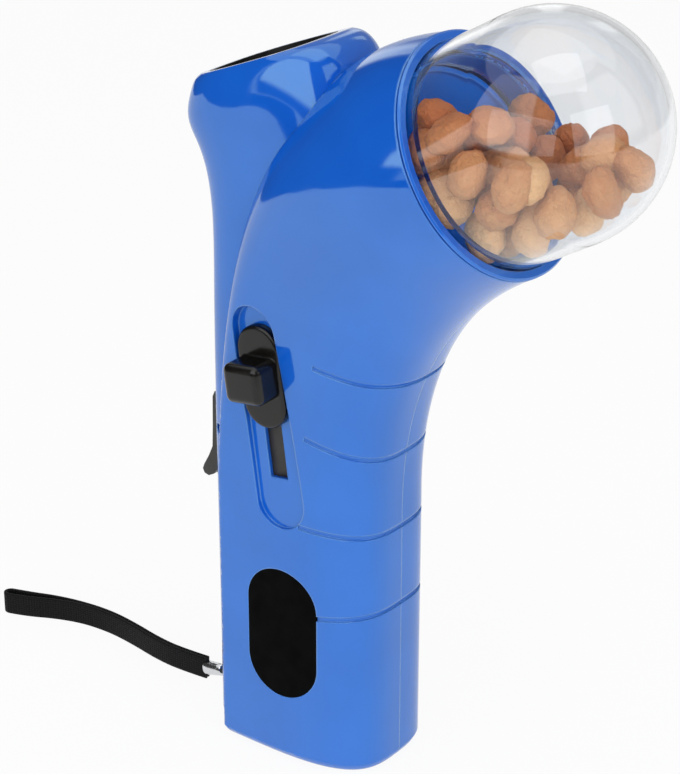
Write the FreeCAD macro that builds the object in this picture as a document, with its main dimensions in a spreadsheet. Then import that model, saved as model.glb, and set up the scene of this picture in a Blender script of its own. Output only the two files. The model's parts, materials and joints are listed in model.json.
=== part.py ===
import FreeCAD, Part

import math
import os

import Sketcher
from FreeCAD import Placement, Rotation, Vector

# Hand-held spring launcher for pet treats. Origin at the centre of the flat base.
# +X is the front (dome side), -Y the near side with the slider, +Z up. Millimetres and degrees.

SIZES = (
    # casing
    ("handle_back", 25.2, "origin to the back edge of the shells"),
    ("handle_front", 24.1, "origin to the front seam"),
    ("handle_width", 42.8, "across the two shells"),
    ("handle_back_share", 6.8, "depth of the squarish back part of the handle's outline"),
    ("handle_roundness", 3.26, "superellipse exponent of the handle's front"),
    ("handle_corner", 20.0, "superellipse exponent of the handle's back corners"),
    ("shell_wall", 2.4, "casing wall"),
    ("foot_radius", 4.4, "rounding of the bottom edge"),
    ("base_drop", 1.8, "bottom face below the datum that heights are measured from"),
    ("back_bend_z", 85.0, "height where the back line starts to bend"),
    ("front_bend_z", 80.0, "height where the front line starts to bend"),
    ("back_bend_rise", 85.0, "reach of the back line's lower handle"),
    ("back_bend_reach", 41.0, "reach of the back line's upper handle"),
    ("back_bend_slope", 13.5, "slope of the neck's top line at the collar"),
    ("front_bend_rise", 38.0, "reach of the front line's lower handle"),
    ("front_bend_reach", 34.0, "reach of the front line's upper handle"),
    # collar and dome
    ("collar_x", 50.7, "centre of the collar's front face"),
    ("collar_z", 189.6, "centre of the collar's front face"),
    ("dome_tilt", 30.3, "dome axis above the horizontal"),
    ("collar_outer", 33.2, "outer radius of neck end and collar"),
    ("collar_length", 1.3, "visible length of the collar ring"),
    ("collar_spigot", 8.2, "length of the collar inside the neck"),
    ("socket_wall", 1.5, "wall of the neck round the collar's spigot"),
    ("spigot_play", 0.12, "gap between the spigot and the neck's wall"),
    ("parting_gap", 0.35, "shadow line between collar and neck"),
    ("dome_outer", 30.5, "outer radius of the dome"),
    ("dome_wall", 1.8, "wall of the dome"),
    ("dome_straight", 19.9, "collar face to the centre of the hemisphere"),
    ("skirt_outer", 28.6, "outer radius of the dome's skirt"),
    ("skirt_wall", 1.6, "wall of the skirt"),
    ("skirt_length", 8.0, "collar face to the end of the skirt"),
    ("dome_step", 1.5, "depth of the dome's shoulder below the collar face"),
    ("seal_height", 0.8, "seal ring under the shoulder"),
    ("running_gap", 0.08, "radial clearance of a part that turns or slides"),
    ("lug_reach", 1.1, "radial height of a bayonet lug"),
    ("lug_height", 1.6, "axial height of a bayonet lug"),
    ("lug_angle", 24.0, "width of a bayonet lug"),
    ("twist_angle", 40.0, "turn from locked to free"),
    ("funnel_wall", 1.6, "wall of the hopper funnel"),
    ("throat_radius", 11.5, "bore of the funnel's throat"),
    ("funnel_depth", 31.0, "collar face to the throat"),
    # launch tube and plunger
    ("launch_tilt", 7.7, "lean of the launch axis, top towards the back"),
    ("launch_x", 8.5, "launch axis at base height"),
    ("tube_bore", 13.0, "bore radius of the launch tube"),
    ("tube_wall", 2.5, "wall of the launch tube"),
    ("tube_foot", 84.0, "bottom end of the launch tube along its axis"),
    ("tube_flare", 178.0, "where the tube starts to flare, along its axis"),
    ("piston_foot", 116.0, "lower end of the plunger at rest"),
    ("piston_top", 176.0, "upper end of the plunger at rest"),
    ("piston_hollow", 8.2, "radius of the hollow for the mainspring"),
    ("piston_floor", 134.0, "upper end of that hollow"),
    ("pad_radius", 10.5, "plunger pad"),
    ("pad_height", 2.5, "plunger pad"),
    ("travel", 27.0, "stroke of slider and plunger"),
    ("spring_outer", 7.8, "outer radius of the mainspring"),
    ("spring_wire", 1.4, "wire diameter of the mainspring"),
    ("spring_turns", 11.0, "turns of the mainspring"),
    ("seat_foot", 50.0, "top of the rib that carries the spring seat"),
    ("seat_height", 4.0, "spring seat"),
    ("seat_radius", 12.0, "spring seat"),
    ("rod_radius", 4.2, "guide rod"),
    ("rod_top", 92.0, "top of the guide rod"),
    # slider
    ("recess_below", 12.2, "centre of the recess below the centre of the slider plate"),
    ("recess_half_width", 7.8, "slider recess"),
    ("recess_half_length", 33.2, "slider recess"),
    ("recess_depth", 1.5, "slider recess"),
    ("recess_floor", 1.4, "wall left under the recess"),
    ("slot_width", 6.2, "slot in the recess"),
    ("slot_play", 0.2, "room at the lower end of the slot"),
    ("neck_width", 5.6, "slider neck"),
    ("neck_foot", 117.4, "lower end of the slider neck at rest"),
    ("neck_length", 10.8, "slider neck"),
    ("knob_half_width", 7.3, "slider plate"),
    ("knob_half_length", 14.9, "slider plate"),
    ("knob_below", 2.1, "slider plate centre below the neck's centre"),
    ("knob_thickness", 2.5, "slider plate"),
    ("block_width", 12.8, "knob block"),
    ("block_height", 11.4, "knob block"),
    ("block_reach", 9.8, "knob block, out of the shell's side face"),
    ("block_above", 0.5, "knob block centre above the plate's centre"),
    ("block_round", 2.3, "rounding of the knob block"),
    ("plate_round", 1.0, "rounding of the slider plate"),
    ("shutter_width", 9.6, "shutter plate behind the slot"),
    ("shutter_below", 29.4, "lower end of the shutter below the neck"),
    ("shutter_play", 5.0, "room below the shutter at full travel"),
    ("shutter_thickness", 1.2, "shutter plate"),
    # label
    ("label_x", -2.7, "label centre"),
    ("label_z", 40.6, "label centre"),
    ("label_half_width", 11.6, "label"),
    ("label_half_length", 20.6, "label"),
    ("label_thickness", 0.8, "label inlay"),
    # grip grooves
    ("groove_width", 1.5, "grip groove"),
    ("groove_depth", 0.6, "grip groove"),
    # muzzle housing
    ("mouth_x", -20.0, "centre of the mouth"),
    ("mouth_z", 203.5, "centre of the mouth"),
    ("mouth_tilt", 21.6, "lean of the mouth's normal"),
    ("housing_half_width", 18.0, "half width of the back strip"),
    ("housing_back", 33.4, "back of the strip behind the origin"),
    ("housing_wall", 2.0, "housing wall"),
    ("housing_foot", 2.7, "bottom of the strip"),
    ("fit_gap", 0.15, "gap between housing and shells"),
    ("split_above", 4.8, "foot of the muzzle's front wall above the slider neck"),
    # trigger
    ("trigger_half_width", 9.0, "push paddle"),
    ("pivot_x", -28.3, "trigger pivot"),
    ("pivot_z", 96.0, "trigger pivot"),
    ("pin_radius", 1.5, "trigger pin"),
    ("pin_half_length", 12.0, "trigger pin"),
    ("trigger_spring_outer", 2.6, "trigger spring"),
    ("trigger_spring_wire", 0.7, "trigger spring"),
    ("trigger_spring_z", 84.0, "height of the trigger spring"),
    # screws
    ("boss_radius", 3.4, "screw boss in the near shell"),
    ("head_boss_radius", 4.6, "screw boss in the far shell"),
    ("screw_shank", 1.4, "screw shank radius"),
    ("screw_head", 2.8, "screw head radius"),
    ("screw_head_height", 2.0, "screw head"),
    ("screw_length", 17.0, "screw under the head"),
    ("head_seat", 8.0, "seat of the screw heads beyond the seam"),
    # strap
    ("lug_z", 8.0, "hole of the strap lug"),
    ("lug_x", -35.8, "hole of the strap lug"),
    ("lug_hole", 2.3, "hole of the strap lug"),
    ("lug_thickness", 2.4, "strap lug"),
    ("cord_diameter", 1.4, "strap cord"),
    ("strap_width", 7.2, "webbing width, on edge"),
    ("strap_thickness", 2.4, "two layers of webbing"),
    ("crimp_radius", 2.6, "metal crimp"),
    # contents
    ("treat_radius", 5.7, "kibble"),
    ("treat_level", 196.0, "highest centre of a piece of kibble at the collar"),
)

# Screw places in the side view (X, Z).
SCREWS = ((-8.0, 9.0), (14.0, 9.5), (17.5, 66.0), (17.0, 112.0), (27.5, 136.5))

# Grip grooves: where each starts on the side face (X, Z) and its slope towards the front.
GROOVES = ((10.6, 127.6, -12.0), (6.0, 104.6, -16.0), (3.3, 76.6, -3.0), (7.4, 48.6, 8.0))

# Stations of the muzzle housing from the base up to the bend: height of the centre, lean,
# centre X, half depth, half width beyond the strip's, superellipse exponent.
HOUSING_STATIONS = (
    (0.0, 0.0, -12.2, 21.2, 0.0, 4.0),
    (60.0, 0.0, -12.2, 21.2, 0.0, 4.0),
    (112.0, 0.0, -12.2, 21.2, 0.0, 4.0),
    (138.0, 4.0, -12.0, 21.2, 0.0, 4.0),
    (157.0, 10.0, -11.8, 21.6, 0.0, 3.9),
    (172.0, 17.0, -11.2, 24.2, 0.3, 3.6),
)
# Stations of the flared muzzle, measured down the mouth's normal: depth, shift towards the
# front, half depth, half width, exponent.
MUZZLE_STATIONS = (
    (17.0, 0.0, 27.0, 18.8, 3.4),
    (10.5, 0.0, 27.6, 19.0, 3.3),
    (6.0, 0.7, 26.4, 18.8, 3.2),
    (3.0, 1.1, 24.6, 18.4, 3.1),
    (1.0, 1.0, 22.7, 17.7, 3.0),
    (0.0, 0.9, 20.6, 17.0, 2.9),
)
MOUTH_HALF = (17.0, 15.4, 2.8)

# Route of the wrist strap's mid-line on the floor (X, Y).
STRAP_ROUTE = ((-49.2, -0.1), (-59.4, -1.3), (-69.4, -0.8), (-80.4, 1.1), (-91.4, 2.2),
               (-102.4, 1.2), (-112.4, -1.8), (-120.9, -5.9), (-128.4, -8.3))
STRAP_FLOOR = -1.6

# Route of the thin cord from the crimp through the lug and back (X, Y, Z).
CORD_ROUTE = ((-42.5, -1.2, 3.6), (-35.8, -3.2, 8.2), (-35.8, 3.2, 8.2), (-42.5, 0.6, 3.6))

doc = FreeCAD.newDocument("treat_dispenser")
sheet = doc.addObject("Spreadsheet::Sheet", "Sizes")
for row, (alias, value, note) in enumerate(SIZES, 1):
    sheet.set(f"A{row}", alias)
    sheet.set(f"B{row}", str(value))
    sheet.setAlias(f"B{row}", alias)
    sheet.set(f"C{row}", note)
doc.recompute()

UP = Vector(0, 0, 1)
ACROSS = Vector(0, 1, 0)
BIG = 400.0
parts = {}


class Term:
    """A length that knows its value and the expression that gives it."""

    def __init__(self, value, text):
        self.value = float(value)
        self.text = text

    def join(self, other, sign, value):
        other = as_term(other)
        return Term(value(self.value, other.value), f"({self.text} {sign} {other.text})")

    def __add__(self, other):
        return self.join(other, "+", lambda a, b: a + b)

    def __sub__(self, other):
        return self.join(other, "-", lambda a, b: a - b)

    def __mul__(self, other):
        return self.join(other, "*", lambda a, b: a * b)

    def __neg__(self):
        return Term(-self.value, f"(-{self.text})")

    def __float__(self):
        return self.value


def as_term(thing):
    """Wrap a plain number as a Term."""
    if isinstance(thing, Term):
        return thing
    return Term(thing, f"({float(thing):.6g})")


def size(alias):
    """One cell of the sheet, as a Term."""
    return Term(sheet.get(alias), f"Sizes.{alias}")


def num(alias):
    """One cell of the sheet, as a number."""
    return float(sheet.get(alias))


# ---------------------------------------------------------------- frames

def tilted(origin, lean):
    """A frame at origin whose Z leans by that angle from vertical towards the front."""
    return Placement(Vector(*origin), Rotation(ACROSS, lean))


LAUNCH = tilted((num("launch_x"), 0, 0), -num("launch_tilt"))
DOME = tilted((num("collar_x"), 0, num("collar_z")), 90 - num("dome_tilt"))
MOUTH = tilted((num("mouth_x"), 0, num("mouth_z")), -num("mouth_tilt"))
WORLD = Placement()
SIDE = Rotation(Vector(1, 0, 0), 90)


def at(frame, x=0.0, y=0.0, z=0.0, turn=None):
    """A placement inside a frame."""
    return frame.multiply(Placement(Vector(float(x), float(y), float(z)), turn or Rotation()))


# ---------------------------------------------------------------- bound primitives

def bind(obj, **sizes):
    """Bind properties of an object to sheet expressions."""
    for name, term in sizes.items():
        obj.setExpression(name, as_term(term).text)


def cylinder(name, radius, height, place):
    """A cylinder standing on its placement."""
    obj = doc.addObject("Part::Cylinder", name)
    bind(obj, Radius=radius, Height=height)
    obj.Placement = place
    return obj


def cone(name, low, high, height, place):
    """A cone standing on its placement."""
    obj = doc.addObject("Part::Cone", name)
    bind(obj, Radius1=low, Radius2=high, Height=height)
    obj.Placement = place
    return obj


def ball(name, radius, place):
    """A sphere."""
    obj = doc.addObject("Part::Sphere", name)
    bind(obj, Radius=radius)
    obj.Placement = place
    return obj


def block(name, frame, low, high):
    """A box between two corners of a frame."""
    low = [as_term(v) for v in low]
    high = [as_term(v) for v in high]
    obj = doc.addObject("Part::Box", name)
    bind(obj, Length=high[0] - low[0], Width=high[1] - low[1], Height=high[2] - low[2])
    obj.Placement = at(frame, *[float(v) for v in low])
    return obj


def fuse(name, pieces):
    """Several objects as one."""
    obj = doc.addObject("Part::MultiFuse", name)
    obj.Shapes = pieces
    return obj


def common(name, pieces):
    """What several objects share."""
    obj = doc.addObject("Part::MultiCommon", name)
    obj.Shapes = pieces
    return obj


def cut(name, base, tools):
    """An object with others taken away."""
    tool = tools[0] if len(tools) == 1 else fuse(name + "_tools", tools)
    obj = doc.addObject("Part::Cut", name)
    obj.Base = base
    obj.Tool = tool
    return obj


def solid(name, shape):
    """A shape of its own, for forms that no primitive gives."""
    obj = doc.addObject("Part::Feature", name)
    obj.Shape = shape
    return obj


def keep(node, obj):
    """Name a finished sub-part."""
    obj.Label = node
    parts[node] = obj
    return obj


def sketch_loop(body, plane, points):
    """A closed sketch outline whose corners are bound to the sheet.

    plane is the role of one of the body's origin planes; points are pairs of Terms.
    """
    sketch = body.newObject("Sketcher::SketchObject", body.Name + "_outline")
    support = [o for o in body.Origin.OriginFeatures if o.Role == plane][0]
    sketch.AttachmentSupport = (support, [""])
    sketch.MapMode = "FlatFace"
    points = [(as_term(x), as_term(y)) for x, y in points]
    corners = [Vector(float(x), float(y), 0) for x, y in points]
    count = len(corners)
    for i in range(count):
        sketch.addGeometry(Part.LineSegment(corners[i], corners[(i + 1) % count]), False)
    for i in range(count):
        sketch.addConstraint(Sketcher.Constraint("Coincident", i, 2, (i + 1) % count, 1))
    for i, (x, y) in enumerate(points):
        for kind, term, axis in (("DistanceX", x, -2), ("DistanceY", y, -1)):
            if abs(float(term)) < 1e-9:
                sketch.addConstraint(Sketcher.Constraint("PointOnObject", i, 1, axis))
                continue
            index = sketch.addConstraint(
                Sketcher.Constraint(kind, -1, 1, i, 1, float(term)))
            sketch.setExpression(f"Constraints[{index}]", term.text)
    return sketch


def turned(name, frame, points):
    """A body of revolution about its frame's Z; points are (radius, height) pairs."""
    body = doc.addObject("PartDesign::Body", name)
    sketch = sketch_loop(body, "XZ_Plane", points)
    turn = body.newObject("PartDesign::Revolution", name + "_turn")
    turn.Profile = sketch
    turn.ReferenceAxis = (sketch, ["V_Axis"])
    turn.Angle = 360
    body.Placement = frame
    return body


def padded(name, frame, plane, points, length):
    """A body padded to both sides of one of its origin planes."""
    body = doc.addObject("PartDesign::Body", name)
    sketch = sketch_loop(body, plane, points)
    pad = body.newObject("PartDesign::Pad", name + "_pad")
    pad.Profile = sketch
    pad.Midplane = True
    pad.setExpression("Length", as_term(length).text)
    body.Placement = frame
    return body


# ---------------------------------------------------------------- casing form

def bezier(points, t):
    """A point of a cubic curve in the side view."""
    a, b, c, d = points
    s = 1 - t
    return a * s ** 3 + b * 3 * s * s * t + c * 3 * s * t * t + d * t ** 3


def blend(low, high, t):
    """Straight mix of two numbers."""
    return low + (high - low) * t


def oval(centre, forward, front, back, half_width, front_power, back_power):
    """A closed smooth curve about centre: superellipse halves to the front and the back.

    Its poles are spaced by length and by turning, so tight corners get more of them.
    """
    fine = []
    for i in range(721):
        angle = 2 * math.pi * i / 720
        c = math.cos(angle)
        s = math.sin(angle)
        power = front_power if c >= 0 else back_power
        reach = front if c >= 0 else back
        spread = (abs(c) ** power + abs(s) ** power) ** (-1 / power)
        fine.append((reach * spread * c, half_width * spread * s))
    travelled = [0.0]
    heading = None
    for (x0, y0), (x1, y1) in zip(fine, fine[1:]):
        turn = math.atan2(y1 - y0, x1 - x0)
        bend = 0.0 if heading is None else abs((turn - heading + math.pi) % (2 * math.pi) - math.pi)
        heading = turn
        travelled.append(travelled[-1] + math.hypot(x1 - x0, y1 - y0) + 8.0 * bend)
    poles = []
    count = 56
    k = 0
    for i in range(count):
        goal = travelled[-1] * i / count
        while travelled[k + 1] < goal:
            k += 1
        share = (goal - travelled[k]) / (travelled[k + 1] - travelled[k])
        along = blend(fine[k][0], fine[k + 1][0], share)
        across = blend(fine[k][1], fine[k + 1][1], share)
        poles.append(centre + forward * along + ACROSS * across)
    return poles


def skinned(sections):
    """A solid through closed outlines, smooth along and across, with flat ends."""
    reach = [0.0]
    for low, high in zip(sections, sections[1:]):
        step = sum((b - a).Length for a, b in zip(low, high)) / len(low)
        reach.append(reach[-1] + step)
    reach = [r / reach[-1] for r in reach]
    rows = []
    for column in zip(*sections):
        line = Part.BSplineCurve()
        line.interpolate(Points=list(column), Parameters=reach)
        rows.append(line.getPoles())
    around = len(rows)
    surface = Part.BSplineSurface()
    surface.buildFromPolesMultsKnots(
        rows, [1] * (around + 1), line.getMultiplicities(),
        [i / around for i in range(around + 1)], line.getKnots(), True, False, 3, line.Degree)
    side = surface.toShape()
    rims = [e for e in side.Edges if len(e.Vertexes) == 1]
    faces = [side] + [Part.Face(Part.Wire([e])) for e in rims]
    shell = Part.makeShell(faces)
    shell.sewShape()
    return Part.Solid(shell)


def casing_curves():
    """The back and front lines of the casing in the side view."""
    out = DOME.Rotation.multVec(UP)
    over = DOME.Rotation.multVec(Vector(-1, 0, 0))
    end = DOME.Base - out * (num("collar_length"))
    top = end + over * num("collar_outer")
    low = end - over * num("collar_outer")
    slope = math.radians(num("back_bend_slope"))
    along = Vector(math.cos(slope), 0, math.sin(slope))
    rear = -num("handle_back")
    fore = num("handle_front")
    back = (Vector(rear, 0, num("back_bend_z")),
            Vector(rear, 0, num("back_bend_z") + num("back_bend_rise")),
            top - along * num("back_bend_reach"), top)
    front = (Vector(fore, 0, num("front_bend_z")),
             Vector(fore, 0, num("front_bend_z") + num("front_bend_rise")),
             low - out * num("front_bend_reach"), low)
    return back, front, out


def casing(inset, floor, overrun):
    """The casing's form, drawn in by inset, from floor up, past the neck's end by overrun."""
    back, front, out = casing_curves()
    rear = -num("handle_back")
    fore = num("handle_front")
    width = num("handle_width") / 2
    share = num("handle_back_share") / (fore - rear)
    wires = []

    def station(low, high, t):
        across = high - low
        length = across.Length - 2 * inset
        forward = across.normalize()
        ease = min(1.0, 1.25 * t)
        back_share = blend(share, 0.5, ease)
        back_reach = length * back_share
        middle = low + forward * (inset + back_reach)
        grow = t * t * (3 - 2 * t)
        half_width = blend(width, num("collar_outer"), grow) - inset
        front_power = blend(num("handle_roundness"), 2.0, ease)
        corner = blend(1 / num("handle_corner"), 0.5, min(1.0, 1.5 * t))
        wires.append(oval(middle, forward, length - back_reach, back_reach, half_width,
                          front_power, 1 / corner))

    straight = num("front_bend_z")
    for z in (floor, floor + 0.25 * (straight - floor), floor + 0.5 * (straight - floor),
              floor + 0.78 * (straight - floor)):
        station(Vector(rear, 0, z), Vector(fore, 0, z), 0.0)
    steps = 7
    for i in range(steps + 1):
        t = i / steps
        station(bezier(back, t), bezier(front, t), t)
    if overrun > 0:
        station(back[3] + out * overrun, front[3] + out * overrun, 1.0)
    return skinned(wires)


def above_base(height):
    """A height above the bottom face, as a height above the datum."""
    return height - num("base_drop")


def foot_form():
    """The rounded bottom edge: a short stack of outlines on a quarter circle."""
    rear = -num("handle_back")
    length = num("handle_front") - rear
    width = num("handle_width") / 2
    radius = num("foot_radius")
    wires = []
    steps = 5
    for i in range(steps + 1):
        angle = math.pi / 2 * i / steps
        inset = radius * (1 - math.sin(angle))
        z = above_base(radius * (1 - math.cos(angle)))
        share = num("handle_back_share")
        wires.append(oval(Vector(rear + share, 0, z), Vector(1, 0, 0), length - share - inset,
                          share - inset, width - inset, num("handle_roundness"),
                          num("handle_corner")))
    return skinned(wires)


def housing_form(inset, floor):
    """The muzzle housing's form, drawn in by inset, from floor up."""
    width = num("housing_half_width")
    shift = num("housing_back") - 33.4
    wires = []
    for z, lean, x, half, wider, power in HOUSING_STATIONS:
        turn = Rotation(ACROSS, -lean)
        low = max(z, floor)
        centre = Vector(x - shift / 2, 0, low)
        wires.append(oval(centre, turn.multVec(Vector(1, 0, 0)), half + shift / 2 - inset,
                          half + shift / 2 - inset, width + wider - inset, power, power))
    grow = width - 18.0
    for depth, ahead, half, half_width, power in MUZZLE_STATIONS:
        if inset > 0:
            depth = depth + inset
        centre = MOUTH.multVec(Vector(ahead, 0, -depth))
        wires.append(oval(centre, MOUTH.Rotation.multVec(Vector(1, 0, 0)), half - inset,
                          half - inset, half_width + grow - inset, power, power))
    return skinned(wires)


# ---------------------------------------------------------------- parts of the casing

def launch_box(name, low, high):
    """A box in the launch axis's frame."""
    return block(name, LAUNCH, low, high)


def stadium(name, frame, half_width, half_length, y_low, y_high):
    """A long rounded prism through Y: frame's Z is its long axis."""
    reach = as_term(half_length) - half_width
    depth = as_term(y_high) - y_low
    lower = cylinder(name + "_low", half_width, depth,
                     at(frame, 0, y_high, -float(reach), SIDE))
    upper = cylinder(name + "_high", half_width, depth,
                     at(frame, 0, y_high, float(reach), SIDE))
    middle = block(name + "_middle", frame, (-as_term(half_width), y_low, -reach),
                   (half_width, y_high, reach))
    return fuse(name, [lower, upper, middle])


def knob_centre():
    """Centre of the slider plate along the launch axis, at rest."""
    return size("neck_foot") + size("neck_length") * 0.5 - size("knob_below")


def recess_centre():
    """Centre of the slider recess along the launch axis."""
    return knob_centre() - size("recess_below")


def shutter_foot():
    """Lower end of the shutter along the launch axis, at rest."""
    return size("neck_foot") - size("shutter_below")


def muzzle_split():
    """Where the muzzle's front wall starts along the launch axis."""
    return size("neck_foot") + size("neck_length") + size("split_above")


def groove_tools(layer):
    """Shallow grooves round the front of the handle."""
    tools = []
    for i, (x, z, slope) in enumerate(GROOVES):
        frame = Placement(Vector(x, 0, z), Rotation(ACROSS, -slope))
        slab = block(f"groove_slab_{i}", frame, (0, -BIG / 4, -size("groove_width") * 0.5),
                     (BIG / 6, BIG / 4, size("groove_width") * 0.5))
        tools.append(common(f"groove_{i}", [slab, layer]))
    return tools


def screw_frames():
    """Frames at the screw places, Z pointing to the far side."""
    return [Placement(Vector(x, 0, z), Rotation(Vector(1, 0, 0), -90)) for x, z in SCREWS]


def make_shells():
    """The two halves of the casing and the bare inlay of the label pocket."""
    wall = num("shell_wall")
    side = size("handle_width") * 0.5
    outer = fuse("casing_outer", [solid("casing_form", casing(0, above_base(num("foot_radius")), 0)),
                                  solid("casing_foot", foot_form())])
    inner = solid("casing_inner", casing(wall, above_base(wall), 1.0))
    middle = solid("casing_middle", casing(wall * 0.5, above_base(wall * 0.5), 0))
    band = solid("casing_band", casing(-0.5, above_base(num("foot_radius")), 0))
    layer = cut("groove_layer", band,
                [solid("casing_under_band", casing(num("groove_depth"), above_base(wall * 0.5), 1.0))])
    under_label = solid("under_label", casing(num("label_thickness"), above_base(wall * 0.5), 1.0))
    pocket_layer = cut("pocket_layer", band, [under_label])
    inlay_layer = cut("inlay_layer", solid("inlay_face", casing(0.05, above_base(num("foot_radius")), 0)),
                      [under_label])

    # ribs that carry the spring seat and the launch tube
    back = -9.3
    seat_rib = launch_box("seat_rib", (back, -40, size("seat_foot") - 3.0),
                          (40, 40, size("seat_foot")))
    foot_rib = launch_box("foot_rib", (back, -40, size("tube_foot") - 3.0),
                          (40, 40, size("tube_foot")))
    pad = stadium("recess_pad", at(LAUNCH, 0, 0, float(recess_centre())),
                  size("recess_half_width") + 2.0, size("recess_half_length") + 2.0,
                  -side - 1.0, -side + size("recess_depth") + size("recess_floor"))
    near_bosses = []
    far_bosses = []
    for i, frame in enumerate(screw_frames()):
        near_bosses.append(cylinder(f"near_boss_{i}", size("boss_radius"), 40, at(frame, z=-40)))
        far_bosses.append(cylinder(f"far_boss_{i}", size("head_boss_radius"), 40, frame))
    stiffeners = common("stiffeners",
                        [fuse("stiffener_set", [seat_rib, foot_rib] + near_bosses + far_bosses),
                         middle])
    near_pad = common("near_pad", [pad, middle])
    blank = fuse("casing_blank", [cut("casing_hollow", outer, [inner]), stiffeners, near_pad])

    envelope = cut("housing_envelope",
                   solid("housing_envelope_form",
                         housing_form(-num("fit_gap"), num("housing_foot") - num("fit_gap"))),
                   [launch_box("envelope_front", (-9.35, -60, -50),
                               (80, 60, muzzle_split() - size("fit_gap") * 2))])
    grooves = groove_tools(layer)
    shared = [envelope,
              cylinder("seat_stem_hole", 6.05, 20, at(LAUNCH, z=num("seat_foot") - 10)),
              cylinder("spring_hole", 9.6, 20, at(LAUNCH, z=num("tube_foot") - 10)),
              cylinder("tube_room", size("tube_bore") + size("tube_wall"), 80,
                       at(LAUNCH, z=num("tube_foot"))),
              cylinder("collar_socket", size("collar_outer") - size("socket_wall"),
                       size("collar_spigot") + 2.0,
                       at(DOME, z=-num("collar_length") - num("collar_spigot")
                          - num("spigot_play")))]
    near_tools = list(shared)
    far_tools = list(shared)
    near_tools.append(stadium("recess", at(LAUNCH, 0, 0, float(recess_centre())),
                              size("recess_half_width"), size("recess_half_length"),
                              -side - 5.0, -side + size("recess_depth")))
    half_slot = size("slot_width") * 0.5
    slot_top = size("neck_foot") + size("neck_length") + 0.6
    near_tools.append(launch_box("slot", (-half_slot, -side - 5,
                                          size("neck_foot") - size("travel")
                                          - size("slot_play")),
                                 (half_slot, -14, slot_top)))
    half_shutter = size("shutter_width") * 0.5 + 0.5
    near_tools.append(launch_box("shutter_room",
                                 (-half_shutter, -side + size("recess_depth")
                                  + size("recess_floor"),
                                  shutter_foot() - size("travel") - size("shutter_play")),
                                 (half_shutter, -10, muzzle_split() + 2.0)))
    label_prism = stadium("label_prism", at(WORLD, num("label_x"), 0, num("label_z")),
                          size("label_half_width"), size("label_half_length"), -side - 2, -10)
    near_tools.append(common("label_pocket", [label_prism, pocket_layer]))
    keep("label_inlay", common("inlay", [label_prism, inlay_layer]))
    for i, frame in enumerate(screw_frames()):
        near_tools.append(cylinder(f"pilot_{i}", size("screw_shank") - 0.2,
                                   size("screw_length") - size("head_seat") + 1.0,
                                   at(frame, z=-num("screw_length") + num("head_seat") - 1.0)))
        far_tools.append(cylinder(f"shank_hole_{i}", size("screw_shank") + 0.2, 40, frame))
        far_tools.append(cylinder(f"head_hole_{i}", size("screw_head") + 0.3, 40,
                                  at(frame, z=num("head_seat"))))
    near_half = block("near_half", WORLD, (-BIG, -BIG, -BIG), (BIG, 0, BIG))
    far_half = block("far_half", WORLD, (-BIG, 0, -BIG), (BIG, BIG, BIG))
    near = common("near_blank", [blank, near_half])
    far_blank = fuse("far_casing_blank", [cut("far_hollow", outer, [inner]), stiffeners])
    far = common("far_blank", [far_blank, far_half])
    keep("left_shell", cut("near_shell", near, near_tools + grooves))
    keep("right_shell", cut("far_shell", far, far_tools + grooves))


def make_screws():
    """Five pan-head screws from the far side."""
    screws = []
    for i, frame in enumerate(screw_frames()):
        seat = num("head_seat")
        shank = cylinder(f"screw_shank_{i}", size("screw_shank") - 0.2, size("screw_length"),
                         at(frame, z=seat - num("screw_length")))
        head = cylinder(f"screw_head_{i}", size("screw_head"), size("screw_head_height"),
                        at(frame, z=seat))
        cross = [block(f"screw_cross_{i}_{k}", at(frame, 0, 0, 0, Rotation(UP, 90 * k)),
                       (-1.8, -0.3, size("head_seat") + size("screw_head_height") - 0.9),
                       (1.8, 0.3, size("head_seat") + size("screw_head_height") + 1))
                 for k in range(2)]
        screws.append(cut(f"screw_{i}", fuse(f"screw_blank_{i}", [shank, head]), cross))
    group = doc.addObject("Part::Compound", "screws")
    group.Links = screws
    keep("shell_screws", group)


# ---------------------------------------------------------------- muzzle housing and tube

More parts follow.
